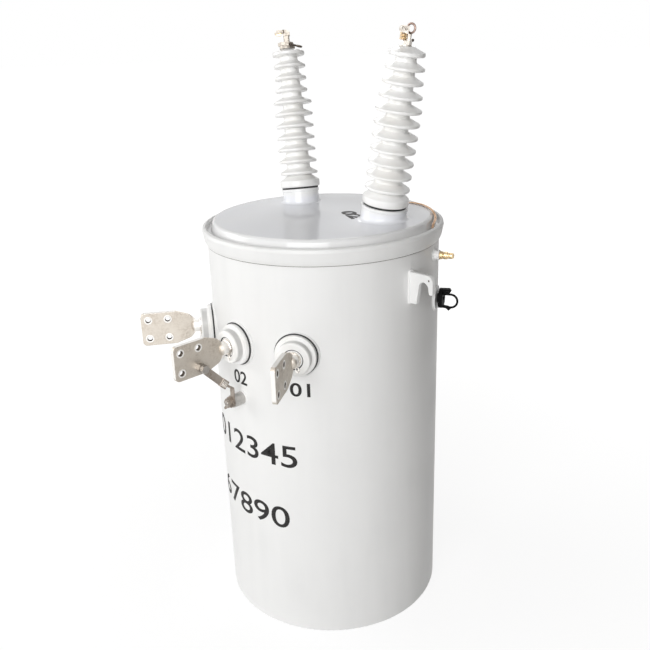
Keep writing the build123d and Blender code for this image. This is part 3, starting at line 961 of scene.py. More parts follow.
@dataclass(frozen=True)
class Moulded:
    """Matt black moulded plastic with a fine texture and paler rubbed spots.

    Args:
        name: The material's name.
        colour: Its colour.
        rubbed: Its colour where it is rubbed.
    """

    name: str = "moulded_black"
    colour: Colour = (0.004, 0.004, 0.0044)
    rubbed: Colour = (0.009, 0.0088, 0.0085)

    def make(self) -> bpy.types.Material:
        """Spots from noise and texture from fine cells.

        Returns:
            The material.
        """
        tree = Tree(self.name)
        worn = tree.span(tree.noise(85, 4), 0.55, 0.8)
        skin = tree.bump(tree.cells(1300), 0.00006)
        return tree.dress(
            Base_Color=tree.mix(worn, self.colour, self.rubbed),
            Roughness=tree.span(worn, 0, 1, 0.55, 0.7),
            Specular_IOR_Level=0.06,
            Normal=skin,
        )


@dataclass(frozen=True)
class Ink:
    """Stencil paint, dense with a few thin patches.

    Args:
        name: The material's name.
        colour: Its dense colour.
        thin: Its colour where it is thin.
    """

    name: str = "stencil_black"
    colour: Colour = (0.013, 0.012, 0.012)
    thin: Colour = (0.035, 0.033, 0.032)

    def make(self) -> bpy.types.Material:
        """Thin patches and a faint bump from fine noise.

        Returns:
            The material.
        """
        tree = Tree(self.name)
        patch = tree.span(tree.noise(160, 4), 0.45, 0.75)
        return tree.dress(
            Base_Color=tree.mix(patch, self.colour, self.thin),
            Roughness=0.6,
            Specular_IOR_Level=0.25,
            Normal=tree.bump(tree.noise(500, 2), 0.00002),
        )


class Finish(Enum):
    """The finishes of the whole object, each with the record's slot that it belongs to."""

    ENAMEL = ("tank_paint", Enamel())
    LID = ("tank_paint", LidEnamel())
    GLAZE = ("white_porcelain", Glaze())
    # Low voltage glaze with a band of painted shade round each barrel.
    LOW_GLAZE_SHADED = ("white_porcelain", Glaze("low_voltage_glaze_painted_shade", azimuths=(-32.9, 0.0, 32.9)))
    RUBBER = ("gasket_rubber", Rubber())
    SPADE = (
        "tinned_metal",
        Metal("cast_tin", (0.60, 0.555, 0.495), (0.45, 0.40, 0.345), 0.46, 240, depth=0.00009, plate=True),
    )
    STRAP = ("tinned_metal", Metal("aged_tin", (0.40, 0.355, 0.315), (0.22, 0.185, 0.155), 0.44, 220))
    BRIGHT_TIN = ("tinned_metal", Metal("bright_tin", (0.80, 0.775, 0.74), (0.56, 0.52, 0.475), 0.24))
    CLAMP = ("tinned_metal", Metal("clamp_tin", (0.66, 0.625, 0.575), (0.36, 0.315, 0.27), 0.36, 260))
    # The left clamp's tin: the same tin as the right clamp's, made darker as painted shade.
    SHADED_CLAMP = ("tinned_metal", Metal("clamp_tin_painted_shade", (0.43, 0.395, 0.35), (0.20, 0.17, 0.14), 0.46, 260))
    ZINC = ("plated_steel", Metal("zinc_plate", (0.46, 0.435, 0.405), (0.22, 0.195, 0.17), 0.34))
    OXIDE = ("plated_steel", Metal("brown_oxide", (0.15, 0.125, 0.105), (0.06, 0.05, 0.042), 0.5))
    STAINLESS = (
        "stainless",
        Metal("stainless_bare", (0.55, 0.535, 0.515), (0.40, 0.385, 0.365), 0.36, 500, (1, 1, 0.1)),
    )
    # Near white tin for the spade holes' rims: a painted highlight.
    RIM_HIGHLIGHT = ("tinned_metal", Metal("rim_tin_painted_highlight", (0.90, 0.885, 0.86), (0.74, 0.715, 0.68), 0.4, metallic=0.5))
    BRASS = ("valve_brass", Metal("yellow_brass", (0.78, 0.60, 0.36), (0.52, 0.36, 0.18), 0.28))
    BRONZE = ("terminal_bronze", Metal("pink_bronze", (0.50, 0.37, 0.32), (0.24, 0.165, 0.135), 0.32))
    COPPER = ("copper_ribbon", Metal("bare_copper", (0.56, 0.38, 0.25), (0.30, 0.19, 0.115), 0.38))
    PLASTIC = ("black_plastic", Moulded())
    INK = ("tank_paint", Ink())

    def material(self) -> bpy.types.Material:
        """The finish's material, made once."""
        return bpy.data.materials.get(self.value[1].name) or self.value[1].make()


@dataclass
class Workshop:
    """Puts finished pieces on their bodies and keeps the list of what was made.

    Args:
        nodes: The CAD nodes by name.
        made: Names of the pieces made so far.
    """

    nodes: dict[str, bpy.types.Object]
    made: list[str] = field(default_factory=list)

    def fit(
        self, piece: bpy.types.Object, finish: Finish, body: str = TANK, replaces: tuple[str, ...] = ()
    ) -> None:
        """Dresses a new piece, makes it ride on a body and hides the CAD nodes that it is shown instead of.

        Args:
            piece: The new piece, in place.
            finish: What it is made of.
            body: The CAD body that carries it.
            replaces: CAD nodes that it is shown instead of.
        """
        piece.data.materials.append(finish.material())
        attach(piece, body)
        if replaces:
            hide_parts(*replaces)
        self.made.append(piece.name)
        LOG.info("made %s in %s on %s", piece.name, finish.value[1].name, body)

    def dress(self, finish: Finish, *names: str) -> None:
        """Gives CAD nodes a finish in place of their plain one.

        Args:
            finish: What they are made of.
            names: The nodes' names.
        """
        for name in names:
            for slot in self.nodes[name].material_slots:
                slot.material = finish.material()
            LOG.info("dressed %s in %s", name, finish.value[1].name)


# ---------------------------------------------------------------- tank, lid and band
@dataclass
class Tank:
    """The welded can: its long seam, the bead round its bottom plate and its bare shell.

    Args:
        seam_azimuth: Where the long seam is.
        seam: Radius of the seam's bead.
        seam_ends: Heights where the seam starts and ends.
        seam_sunk: How far the seam's centreline is inside the wall.
        bead: Radius of the bottom bead.
        bead_height: Height of the bottom bead's centreline.
        bead_sunk: How far that centreline is inside the wall.
    """

    seam_azimuth: float = 212.0
    seam: float = 3.2
    seam_ends: Pair = (6.0, 915.0)
    seam_sunk: float = 1.9
    bead: float = 2.6
    bead_height: float = 3.4
    bead_sunk: float = 5.5

    def build(self, shop: Workshop) -> None:
        """Adds the seam and the bottom bead and dresses the shell.

        Args:
            shop: Fits the pieces.
        """
        heights = np.linspace(*self.seam_ends, 700)
        line = polar(self.seam_azimuth, TANK_RADIUS - self.seam_sunk, heights)
        seam = Shell().weld(line, self.seam, polar(self.seam_azimuth))
        shop.fit(seam.piece("tank_long_seam"), Finish.ENAMEL)
        turn = np.linspace(0, 360, 500, endpoint=False)
        foot = polar(turn, TANK_RADIUS - self.bead_sunk, self.bead_height)
        bead = Shell().weld(foot, self.bead, UP, ring=True)
        shop.fit(bead.piece("tank_bottom_bead"), Finish.ENAMEL)
        shop.dress(Finish.ENAMEL, "tank_body", "tank_bottom")


def bushing_axes(number: int) -> Axes:
    """The leaning frame of a high voltage bushing: origin under its collar, Z up its axis.

    The axis is the level way outwards times the sine of the lean, plus up times its cosine.

    Args:
        number: 1 for the left bushing, 2 for the right one.

    Returns:
        The frame.
    """
    azimuth = (TURRET_AZIMUTH if number == 2 else -TURRET_AZIMUTH) + TURRET_SHIFT
    lean = math.radians(TURRET_LEAN)
    axis = polar(azimuth) * math.sin(lean) + UP * math.cos(lean)
    return Axes.along(polar(azimuth, *COLLAR_FOOT), axis, polar(azimuth))


@dataclass
class Lid:
    """The pressed lid, with a machined step round the top of each turret.

    Args:
        turret_radius: Radius of each turret.
        step: How far the step stands proud.
        step_height: How tall it is.
        step_top: Where it ends, under the bushing's collar.
    """

    turret_radius: Pair = (44.0, 50.0)
    step: float = 1.5
    step_height: float = 7.0
    step_top: float = -4.2

    def build(self, shop: Workshop) -> None:
        """Adds the two steps and dresses the lid.

        Args:
            shop: Fits the pieces.
        """
        heights = (self.step_top - self.step_height, self.step_top)
        for number, radius in enumerate(self.turret_radius, start=1):
            radii = (radius - 3, radius + self.step)
            ring = Shell().hoop(bushing_axes(number), radii, heights, (0.2, 1.3, 1.3, 0.2), 6, 128)
            shop.fit(ring.piece(f"turret_step_{number}"), Finish.LID)
        shop.dress(Finish.LID, "cover")


@dataclass
class ClampBand:
    """The band round the rim: a dark ring under its lower edge as painted shadow in the gap, its bolt's
    thread and washers.

    Args:
        bottom: Height of the band's lower edge.
        seal: Inner and outer radius of the dark ring of painted shadow under the band.
        split_azimuth: Where its ears are.
        bolt_radius: Distance of the bolt from the tank's axis.
        bolt_height: The bolt's axis over the floor.
        washer: Inner and outer radius of a washer.
        washer_middle: Distance of a washer's middle from the bolt's.
        washer_thickness: Thickness of a washer.
        thread: Radius of the bolt's thread, and where it starts and ends along the bolt.
    """

    bottom: float = 911.0
    seal: Pair = (266.4, 268.9)
    split_azimuth: float = -128.0
    bolt_radius: float = 295.5
    bolt_height: float = 930.0
    washer: Pair = (6.2, 12.0)
    washer_middle: float = 17.0
    washer_thickness: float = 1.8
    thread: Triple = (6.25, -32.8, -26.5)

    def build(self, shop: Workshop) -> None:
        """Adds the dark ring of painted shadow, the washers and the thread, and dresses the band.

        Args:
            shop: Fits the pieces.
        """
        upright = Axes.along(np.zeros(3), UP, [1, 0, 0])
        # A dark ring in the gap under the band's lower edge: painted shadow.
        seal = Shell().hoop(upright, self.seal, (self.bottom - 1.3, self.bottom + 1), 0.5, 4, 256)
        shop.fit(seal.piece("band_gap_shade"), Finish.OXIDE)
        ears = Axes.wall(self.split_azimuth, self.bolt_radius, self.bolt_height)
        bolt = ears.facing([1, 0, 0], [0, 1, 0])
        washers = Shell()
        for side in (-1, 1):
            low = side * self.washer_middle - self.washer_thickness / 2
            washers.hoop(bolt, self.washer, (low, low + self.washer_thickness), 0.3, 3, 40)
        shop.fit(washers.piece("band_bolt_washers"), Finish.ZINC)
        shop.fit(Shell().thread(bolt, *self.thread).piece("band_bolt_thread"), Finish.ZINC)
        shop.dress(Finish.ENAMEL, "clamp_band")
        shop.dress(Finish.ZINC, "clamp_band_bolt")


@dataclass
class BondRibbon:
    """Bare copper bond: in the lid's groove, over its shoulder and up to the turret.

    Args:
        knots: Azimuth, radius and height along its line.
        strand: Radius of a strand.
        apart: Distance between its two strands.
        stagger: How far one strand lies over its middle and the other under it.
        twists: How many times a strand swells along the line.
        swell: How much it swells, as a share of its radius.
    """

    knots: tuple[Triple, ...] = (
        (113.2, 261.3, 943.0),
        (114.6, 261.0, 949.5),
        (118.0, 260.0, 951.8),
        (124.0, 258.5, 953.0),
        (129.5, 256.6, 955.8),
        (134.0, 251.2, 962.6),
        (142.4, 245.6, 963.6),
        (150.4, 241.0, 963.4),
        (155.5, 234.2, 963.2),
        (158.5, 226.9, 963.2),
    )
    strand: float = 1.25
    apart: float = 2.9
    stagger: float = 0.2
    twists: int = 46
    swell: float = 0.09

    def build(self, shop: Workshop) -> None:
        """Carries each strand along the line, swelling as a sine, and shows them for the plain strap.

        Args:
            shop: Fits the pieces.
        """
        line = spline(np.array(self.knots), 26)
        run = np.linspace(0, 1, len(line))
        ribbon = Shell()
        for side in (-1, 1):
            radius = line[:, 1] + side * self.apart / 2
            centre = polar(line[:, 0], radius, line[:, 2] + self.stagger * side)
            size = 1 + self.swell * np.sin(2 * np.pi * self.twists * run + side)
            ribbon.swept(centre, circle(self.strand, 12), UP, size)
        shop.fit(ribbon.piece("bond_ribbon"), Finish.COPPER, replaces=("lid_bond_strap",))


# ---------------------------------------------------------------- high voltage side
@dataclass
class HighVoltageBushing:
    """One shed stack on its turret: collar, eleven drooping sheds on a tapering core, cap and gasket.

    Args:
        number: 1 for the slimmer left one, 2 for the stouter right one.
        girth: Scale of collar and core.
        first_shed: Height of the lowest shed's middle over the collar's foot.
        pitch: Distance from shed to shed.
        rims: Radius of each shed.
        cap_rise: Height of the cap over the last shed's middle.
        gasket: Radius of the gasket.
        core: Radius of the core at the lowest shed, before girth.
        taper: How much slimmer the core is at the highest shed.
        collar: Radius, before girth, and height of the collar.
        shed: Heights of a shed's root, lower rim, upper rim and root, from its middle.
        easing: Rounding of those four corners.
        shoulder: Heights of the last shed's upper rim and of the cap's foot, from its middle.
        cap: Radius of the cap at its foot, at its top and at the top's middle.
        wobble: How far the porcelain strays from round.
    """

    number: int
    girth: float
    first_shed: float
    pitch: float
    rims: tuple[float, ...]
    cap_rise: float
    gasket: float
    core: float = 30.0
    taper: float = 8.5
    collar: Pair = (50.7, 16.0)
    shed: tuple[float, ...] = (-5.0, -4.0, 2.0, 12.0)
    easing: tuple[float, ...] = (3.0, 2.9, 2.9, 3.0)
    shoulder: Pair = (4.0, 10.0)
    cap: Triple = (22.0, 14.0, 12.0)
    wobble: float = 0.16

    def profile(self) -> Points:
        """The porcelain's outline: foot, collar, four rounded corners a shed, and the cap.

        The core's radius falls evenly from the lowest shed to the highest.

        Returns:
            Radius and height of each point.
        """
        index = np.arange(len(self.rims))
        middle = self.first_shed + index * self.pitch
        core = self.girth * (self.core - self.taper * index / index[-1])
        heights = middle[:, None] + np.array(self.shed)
        heights[-1, 2:] = middle[-1] + np.array(self.shoulder)
        across = np.stack([core, self.rims, self.rims, core], axis=1)
        across[-1, 3] = self.cap[0]
        easing = np.tile(self.easing, (len(self.rims), 1))
        easing[0, 0] = easing[-1, 3] = 0.4
        sheds = np.stack([across, heights], axis=-1).reshape(-1, 2)
        wide, tall = self.collar[0] * self.girth, self.collar[1]
        foot = [(wide - 6, 0), (wide, 0), (wide, tall)]
        head = [(self.cap[1], self.top()), (self.cap[2], self.top())]
        corners = np.concatenate([foot, sheds, head])
        return rounded(corners, np.concatenate([[0, 4, 4], easing.ravel(), [0.8, 0]]), 7)

    def top(self) -> float:
        """Height of the cap over the collar's foot."""
        return self.first_shed + (len(self.rims) - 1) * self.pitch + self.cap_rise

    def build(self, shop: Workshop) -> None:
        """Turns the porcelain and the gasket, which bulges a little between collar and turret.

        Args:
            shop: Fits the pieces.
        """
        axes, tag = bushing_axes(self.number), self.number
        body = Shell().turned(axes, self.profile(), 160, wobble=self.wobble)
        shop.fit(body.piece(f"porcelain_{tag}", 50), Finish.GLAZE, replaces=(f"hv_bushing_{tag}",))
        inner, edge, bulge = self.gasket - 9, self.gasket - 0.3, self.gasket + 0.5
        corners = [(inner, -4.0), (edge, -4.0), (bulge, -2.0), (edge, 0.0), (inner, 0.0)]
        ring = Shell().turned(axes, rounded(corners, [0.2, 0.8, 1.6, 0.8, 0.2], 5, True), 128, ring=True)
        shop.fit(ring.piece(f"porcelain_gasket_{tag}"), Finish.RUBBER, replaces=(f"hv_gasket_{tag}",))


class ClampState(Enum):
    """How a spring clamp stands."""

    OPEN = 1
    CLOSED = 2


@dataclass
class SpringClamp:
    """The wire clamp on a bushing's cap.

    Args:
        bushing: The bushing that carries it.
        state: Open with its eye bolt laid flat, or closed with its eye over the post.
        size: Its scale.
        azimuth: Where its local X points.
        pitch: Height of one turn of its threads.
        pin_x: Local x of the closed clamp's pin.
        pin: Radius of that pin, and where it starts and ends.
        coil: Radius of the coil spring on it, and where it starts and ends.
        coil_turns: How many turns the coil has.
        coil_wire: Radius of the coil's wire.
        dimples: Local x and z of each dimple in the jaw.
        jaw_face: Local y of the jaw's face.
        post_x: Local x of the closed clamp's post.
        post_thread: Radius of the thread under the eye, and where it starts and ends.
        screw: Where the set screw is.
        screw_way: Where it points.
        rod: Where the open clamp's eye bolt starts.
        rod_turn: How far that bolt is laid over, in degrees.
        rod_thread: Radius of its thread, and where it starts and ends.
        nuts: Where its two thin nuts start.
        nut_thickness: Thickness of a thin nut.
        hinge: Where the hinge pin is in the jaw's slot.
        hinge_half: Half the hinge pin's length.
    """

    bushing: HighVoltageBushing
    state: ClampState
    size: float
    azimuth: float = 136.8
    pitch: float = 1.25
    pin_x: float = -12.7
    pin: Triple = (3.1, 9.0, 27.0)
    coil: Triple = (6.5, 11.2, 25.0)
    coil_turns: float = 4.7
    coil_wire: float = 1.15
    dimples: tuple[Pair, ...] = ((-16.5, 34.6), (-10.0, 33.4))
    jaw_face: float = -11.0
    post_x: float = 1.5
    post_thread: Triple = (3.4, 23.6, 27.4)
    screw: Triple = (6.4, -4.6, 12.6)
    screw_way: Triple = (0.55, -0.83, 0.0)
    rod: Triple = (4.1, -20.0, 8.3)
    rod_turn: float = 107.0
    rod_thread: Triple = (2.35, 1.0, 17.0)
    nuts: Pair = (3.0, 7.2)
    nut_thickness: float = 3.0
    hinge: Triple = (-6.2, 0.0, 38.0)
    hinge_half: float = 8.5

    def scaled(self, axes: Axes) -> Axes:
        """The same frame with its directions as long as the clamp's scale."""
        return Axes(axes.origin, axes.x * self.size, axes.y * self.size, axes.z * self.size)

    def axes(self) -> Axes:
        """Its frame on the cap, scaled: X across the clamp, Z up the bushing's axis."""
        foot = bushing_axes(self.bushing.number)
        return self.scaled(Axes.along(foot.origin + foot.z * self.bushing.top(), foot.z, polar(self.azimuth)))

    def build(self, shop: Workshop) -> None:
        """Builds what its state shows and dresses its CAD nodes.

        Args:
            shop: Fits the pieces.
        """
        number = self.bushing.number
        # The left clamp takes a darker copy of the clamp tin: painted shade.
        finish = Finish.SHADED_CLAMP if number == 1 else Finish.CLAMP
        shop.dress(finish, f"hv_terminal_{number}", f"hv_clamp_jaw_{number}")
        if self.state is ClampState.CLOSED:
            self.closed(shop)
        else:
            self.open(shop)

    def closed(self, shop: Workshop) -> None:
        """Coil spring of brass wire on its pin, two dimples in the jaw, a thread under the eye, a set screw.

        Args:
            shop: Fits the pieces.
        """
        axes = self.axes()
        pin_axes = axes.moved(self.pin_x, 0, 0)
        shop.dress(Finish.BRONZE, "hv_eyebolt_2")
        coil = Shell().wire(pin_axes.place(helix(*self.coil, self.coil_turns)), self.coil_wire, axes.z)
        shop.fit(coil.piece("clamp_coil"), Finish.BRASS, replaces=("hv_clamp_spring_2",))
        radius, low, high = self.pin
        pin = Shell().turned(pin_axes, np.array([(radius, low), (radius, high)]), 24)
        shop.fit(pin.piece("clamp_coil_pin"), Finish.BRONZE)
        dimples = Shell()
        for x, z in self.dimples:
            spot = axes.moved(x, self.jaw_face, z).facing([0, -1, 0], [1, 0, 0])
            dimples.hoop(spot, (1.5, 2.7), (-0.6, 0.35), 0.3, 3, 24)
        shop.fit(dimples.piece("clamp_jaw_dimples"), Finish.OXIDE)
        screw = Shell().thread(axes.moved(self.post_x, 0, 0), *self.post_thread, self.pitch)
        seat = axes.moved(*self.screw).facing(self.screw_way, [0, 0, 1])
        screw.prism(seat, polygon(5.2, 6, 0.3), 0, 3.4, 0.4)
        shop.fit(screw.piece("clamp_set_screw"), Finish.OXIDE)

    def open(self, shop: Workshop) -> None:
        """Thread on the eye bolt's rod, its two thin nuts, and the dark hinge pin in the jaw's slot.

        Args:
            shop: Fits the pieces.
        """
        axes = self.axes()
        turn = math.radians(self.rod_turn)
        way = np.array([math.sin(turn), 0, math.cos(turn)])
        rod = self.scaled(axes.moved(*self.rod).facing(way, [0, 1, 0]))
        thread = Shell().thread(rod, *self.rod_thread, self.pitch)
        for low in self.nuts:
            thread.prism(rod, polygon(7.6, 6, 0.5), low, low + self.nut_thickness, 0.4)
        shop.fit(thread.piece("eye_bolt_thread"), Finish.OXIDE)
        shop.dress(Finish.OXIDE, "hv_eyebolt_1")
        across = Axes(axes.place(np.array(self.hinge)), axes.x, axes.z, -axes.y)
        pin = Shell().prism(across, box_outline(3.4, 9.0, 1.2), -self.hinge_half, self.hinge_half, 0.4)
        shop.fit(pin.piece("clamp_hinge_pin"), Finish.OXIDE)
        shop.dress(Finish.BRASS, "hv_clamp_spring_1")


# ---------------------------------------------------------------- low voltage side
@dataclass
class LowVoltageTerminal:
    """One wall bushing: boss weld, black seals, washer tab, holes with pale rims of painted highlight and
    dark threads of painted shade, stud thread.

    Args:
        number: 1 to 3, from right to left.
        azimuth: Where it stands on the wall.
        height: Its axis over the floor.
        boss_radius: Radius of the boss.
        front: Radius from the tank's axis to the porcelain's front.
        seal: Inner and outer radius of the black ring round the washer.
        lip: Section of the wall gasket's lip: radius, and distance from the tank's axis.
        tab_angle: Where the washer's tab is, in degrees from the level to the right.
        tab: Half width and half length of the tab's loop.
        tab_reach: Distance of the loop's middle from the stud's axis.
        tab_wire: Radius of the loop's section.
        hole_centre: Middle of the four holes, from the tank's axis.
        hole_spacing: Distance between holes.
        hole_radius: Radius of a hole.
        rim: How far a hole's rim reaches from the hole's edge, inwards and outwards.
        rim_proud: How far the rim stands over the spade.
        thread_in: How far the middle of a hole's thread is inside the hole's edge.
        thread_depth: Half the depth of that thread.
        thread_pitch: Height of one of its turns.
        plate: Thickness of the spade.
        stud: Radius of the stud's thread, where it starts and ends, and its pitch.
    """

    number: int
    azimuth: float
    height: float = 718.5
    boss_radius: float = 47.5
    front: float = 298.0
    seal: Pair = (20.7, 22.7)
    lip: tuple[Pair, ...] = ((44.0, 268.1), (47.5, 268.1), (48.3, 269.9), (47.7, 271.7), (44.0, 271.7))
    tab_angle: float = -64.0
    tab: Pair = (3.3, 5.6)
    tab_reach: float = 23.0
    tab_wire: float = 1.35
    hole_centre: float = 395.2
    hole_spacing: float = 44.45
    hole_radius: float = 7.15
    rim: Pair = (-0.9, 2.3)
    rim_proud: float = 0.22
    thread_in: float = 1.5
    thread_depth: float = 0.3
    thread_pitch: float = 2.0
    plate: float = 9.5
    stud: tuple[float, ...] = (10.2, 299.5, 303.2, 2.0)

    def build(self, shop: Workshop) -> None:
        """Adds the weld, seals, tab, holes and stud thread, and dresses the CAD nodes.

        Args:
            shop: Fits the pieces.
        """
        tag = self.number
        weld = BossWeld(self.azimuth, self.height, self.boss_radius + 0.6, 2.7, 2.6, 360)
        shop.fit(weld.shell().piece(f"boss_weld_{tag}"), Finish.ENAMEL)
        seat = Axes.wall(self.azimuth, 0, self.height)
        self.seals(shop, seat)
        self.bend_tab(shop, seat)
        self.holes(shop)
        shop.fit(Shell().thread(seat, *self.stud).piece(f"stud_thread_{tag}"), Finish.ZINC)
        nodes = {"boss": Finish.ENAMEL, "bushing": Finish.LOW_GLAZE_SHADED, "gasket": Finish.RUBBER}
        nodes |= {"stud": Finish.BRIGHT_TIN, "spade": Finish.SPADE}
        for node, finish in nodes.items():
            shop.dress(finish, f"lv_{node}_{tag}")

    def seals(self, shop: Workshop, seat: Axes) -> None:
        """A black ring round the washer and a bulging lip on the wall gasket, each a turned loop.

        Args:
            shop: Fits the pieces.
            seat: The terminal's frame: Z outwards from the tank's axis.
        """
        floor = self.front - 2.5
        rings = Shell().hoop(seat, self.seal, (floor - 0.2, floor + 1.5), (0.1, 0.1, 0.5, 0.5), 5, 80)
        lip = rounded(self.lip, [0.1, 0.5, 0.8, 0.5, 0.1], 4, True)
        rings.turned(seat, lip, 112, ring=True)
        shop.fit(rings.piece(f"bushing_seals_{self.number}"), Finish.RUBBER)

    def bend_tab(self, shop: Workshop, seat: Axes) -> None:
        """The lock washer's bent tab: a loop of wire, an oval whose foot is under the washer.

        The loop rises from the washer by a fixed share of its distance past the washer's edge.

        Args:
            shop: Fits the pieces.
            seat: The terminal's frame: Z outwards from the tank's axis.
        """
        rise, washer_edge, slope = 1.4, 18, 0.16
        angle = full_turn(48)
        lean = math.radians(self.tab_angle)
        local = np.stack([self.tab[0] * np.sin(angle), self.tab[1] * np.cos(angle)], axis=1)
        turn = np.array([[-math.sin(lean), math.cos(lean)], [math.cos(lean), math.sin(lean)]])
        flat = local @ turn + self.tab_reach * np.array([math.cos(lean), math.sin(lean)])
        out = self.front + rise + slope * (np.linalg.norm(flat, axis=1) - washer_edge)
        loop = Shell().wire(seat.place(np.column_stack([flat, out])), self.tab_wire, seat.z, ring=True)
        shop.fit(loop.piece(f"washer_tab_{self.number}"), Finish.BRIGHT_TIN)

    def liner(self, half: float) -> Points:
        """A hole's threaded wall: a thin tube whose inner radius falls and rises as a cosine of the height.

        Args:
            half: Half the tube's height.

        Returns:
            The tube's section, radius and height, as a closed loop.
        """
        height = np.linspace(half, -half, 33)
        wave = np.cos(2 * np.pi * height / self.thread_pitch)
        inside = self.hole_radius - self.thread_in - self.thread_depth * wave
        outer = self.hole_radius + 0.1
        return np.concatenate([[(outer, -half), (outer, half)], np.column_stack([inside, height])])

    def holes(self, shop: Workshop) -> None:
        """A pale rim round each hole on both faces, its paleness a painted highlight, and a thread inside it,
        dark as painted shade.

        Args:
            shop: Fits the pieces.
        """
        plane = Axes.radial(self.azimuth).moved(0, self.height, 0)
        half = self.plate / 2
        low, high = self.hole_radius + self.rim[0], self.hole_radius + self.rim[1]
        top = half + self.rim_proud
        section = rounded([(low, half - 0.5), (high, half - 0.3), (high, top), (low, top)], 0.15, 3, True)
        rims, liners = Shell(), Shell()
        for x, y in ((-0.5, -0.5), (-0.5, 0.5), (0.5, -0.5), (0.5, 0.5)):
            hole = plane.moved(self.hole_centre + x * self.hole_spacing, y * self.hole_spacing, 0)
            for side in (-1, 1):
                rims.turned(hole.facing([0, 0, side], [1, 0, 0]), section, 40, ring=True)
            liners.turned(hole, self.liner(half - 1.3), 40, ring=True)
        # The rims' near white is a painted highlight; the threads' dark oxide is painted shade inside the
        # holes.
        shop.fit(rims.piece(f"spade_hole_rims_{self.number}"), Finish.RIM_HIGHLIGHT)
        shop.fit(liners.piece(f"spade_hole_threads_painted_shade_{self.number}"), Finish.OXIDE)


@dataclass
class GroundConnection:
    """The strap's crimp marks, its threads and spring washers, and the weld round its boss.

    Args:
        azimuth: Where the boss stands.
        height: The boss's axis over the floor.
        boss_radius: Radius of the boss.
        hole: The spade's hole that the strap starts from, outwards and up.
        side: Distance from the spade's middle plane to the strap's face.
        crimp: Both ends of the crimped sleeve, outwards and up.
        bars: Where the crimp's bars are, as shares of its length.
        bar: Width, length and corner radius of a bar.
        bar_half: Half a bar's depth, through the crimp.
        bolt_thread: Radius of the thread past the bolt's nut, and where it starts and ends.
        stud_thread: The same for the stud in the boss, and its pitch.
        washer: Inner and outer radius of a spring washer.
        washer_feet: Where the two spring washers start along the bolt.
        washer_thickness: Thickness of a spring washer.
    """

    azimuth: float = 0.3
    height: float = 588.3
    boss_radius: float = 14.8
    hole: Pair = (372.97, 696.27)
    side: float = 16.5
    crimp: tuple[Pair, Pair] = ((331.0, 652.7), (318.2, 639.2))
    bars: tuple[float, ...] = (0.2, 0.4, 0.6, 0.8)
    bar: Triple = (1.5, 13.5, 0.6)
    bar_half: float = 4.7
    bolt_thread: Triple = (6.35, 16.9, 21.2)
    stud_thread: tuple[float, ...] = (5.6, 300.0, 312.5, 1.5)
    washer: Pair = (6.6, 9.4)
    washer_feet: Pair = (-20.2, 6.9)
    washer_thickness: float = 1.9

    def build(self, shop: Workshop) -> None:
        """Adds weld, marks, threads and washers and dresses the CAD nodes.

        Args:
            shop: Fits the pieces.
        """
        weld = BossWeld(self.azimuth, self.height, self.boss_radius + 0.5, 2.4, 2.4, 160)
        shop.fit(weld.shell().piece("ground_boss_weld"), Finish.ENAMEL)
        self.marks(shop)
        self.threads(shop)
        shop.dress(Finish.STAINLESS, "ground_boss")
        shop.dress(Finish.STRAP, "ground_connector", "ground_strap")
        shop.dress(Finish.ZINC, "ground_strap_bolt")

    def marks(self, shop: Workshop) -> None:
        """Pressed bars across both faces of the crimp, evenly spaced from one end to the other.

        Args:
            shop: Fits the pieces.
        """
        start, end = np.array(self.crimp)
        along = unit(end - start)
        plane = Axes.radial(0).moved(0, 0, -self.side)
        marks = Shell()
        for share in self.bars:
            bar = plane.moved(*(start + (end - start) * share), 0)
            bar = Axes.along(bar.origin, bar.z, bar.x * along[0] + bar.y * along[1])
            marks.prism(bar, box_outline(*self.bar), -self.bar_half, self.bar_half, 0.3)
        shop.fit(marks.piece("crimp_bars"), Finish.BRIGHT_TIN)

    def threads(self, shop: Workshop) -> None:
        """Threads past both nuts, and the bolt's spring washers.

        Args:
            shop: Fits the pieces.
        """
        bolt = Axes.radial(0).moved(*self.hole, 0)
        threads = Shell().thread(bolt, *self.bolt_thread)
        threads.thread(Axes.wall(self.azimuth, 0, self.height), *self.stud_thread)
        shop.fit(threads.piece("ground_threads"), Finish.ZINC)
        washers = Shell()
        for low in self.washer_feet:
            washers.hoop(bolt, self.washer, (low, low + self.washer_thickness), 0.4, 3, 36)
        shop.fit(washers.piece("ground_spring_washers"), Finish.ZINC)


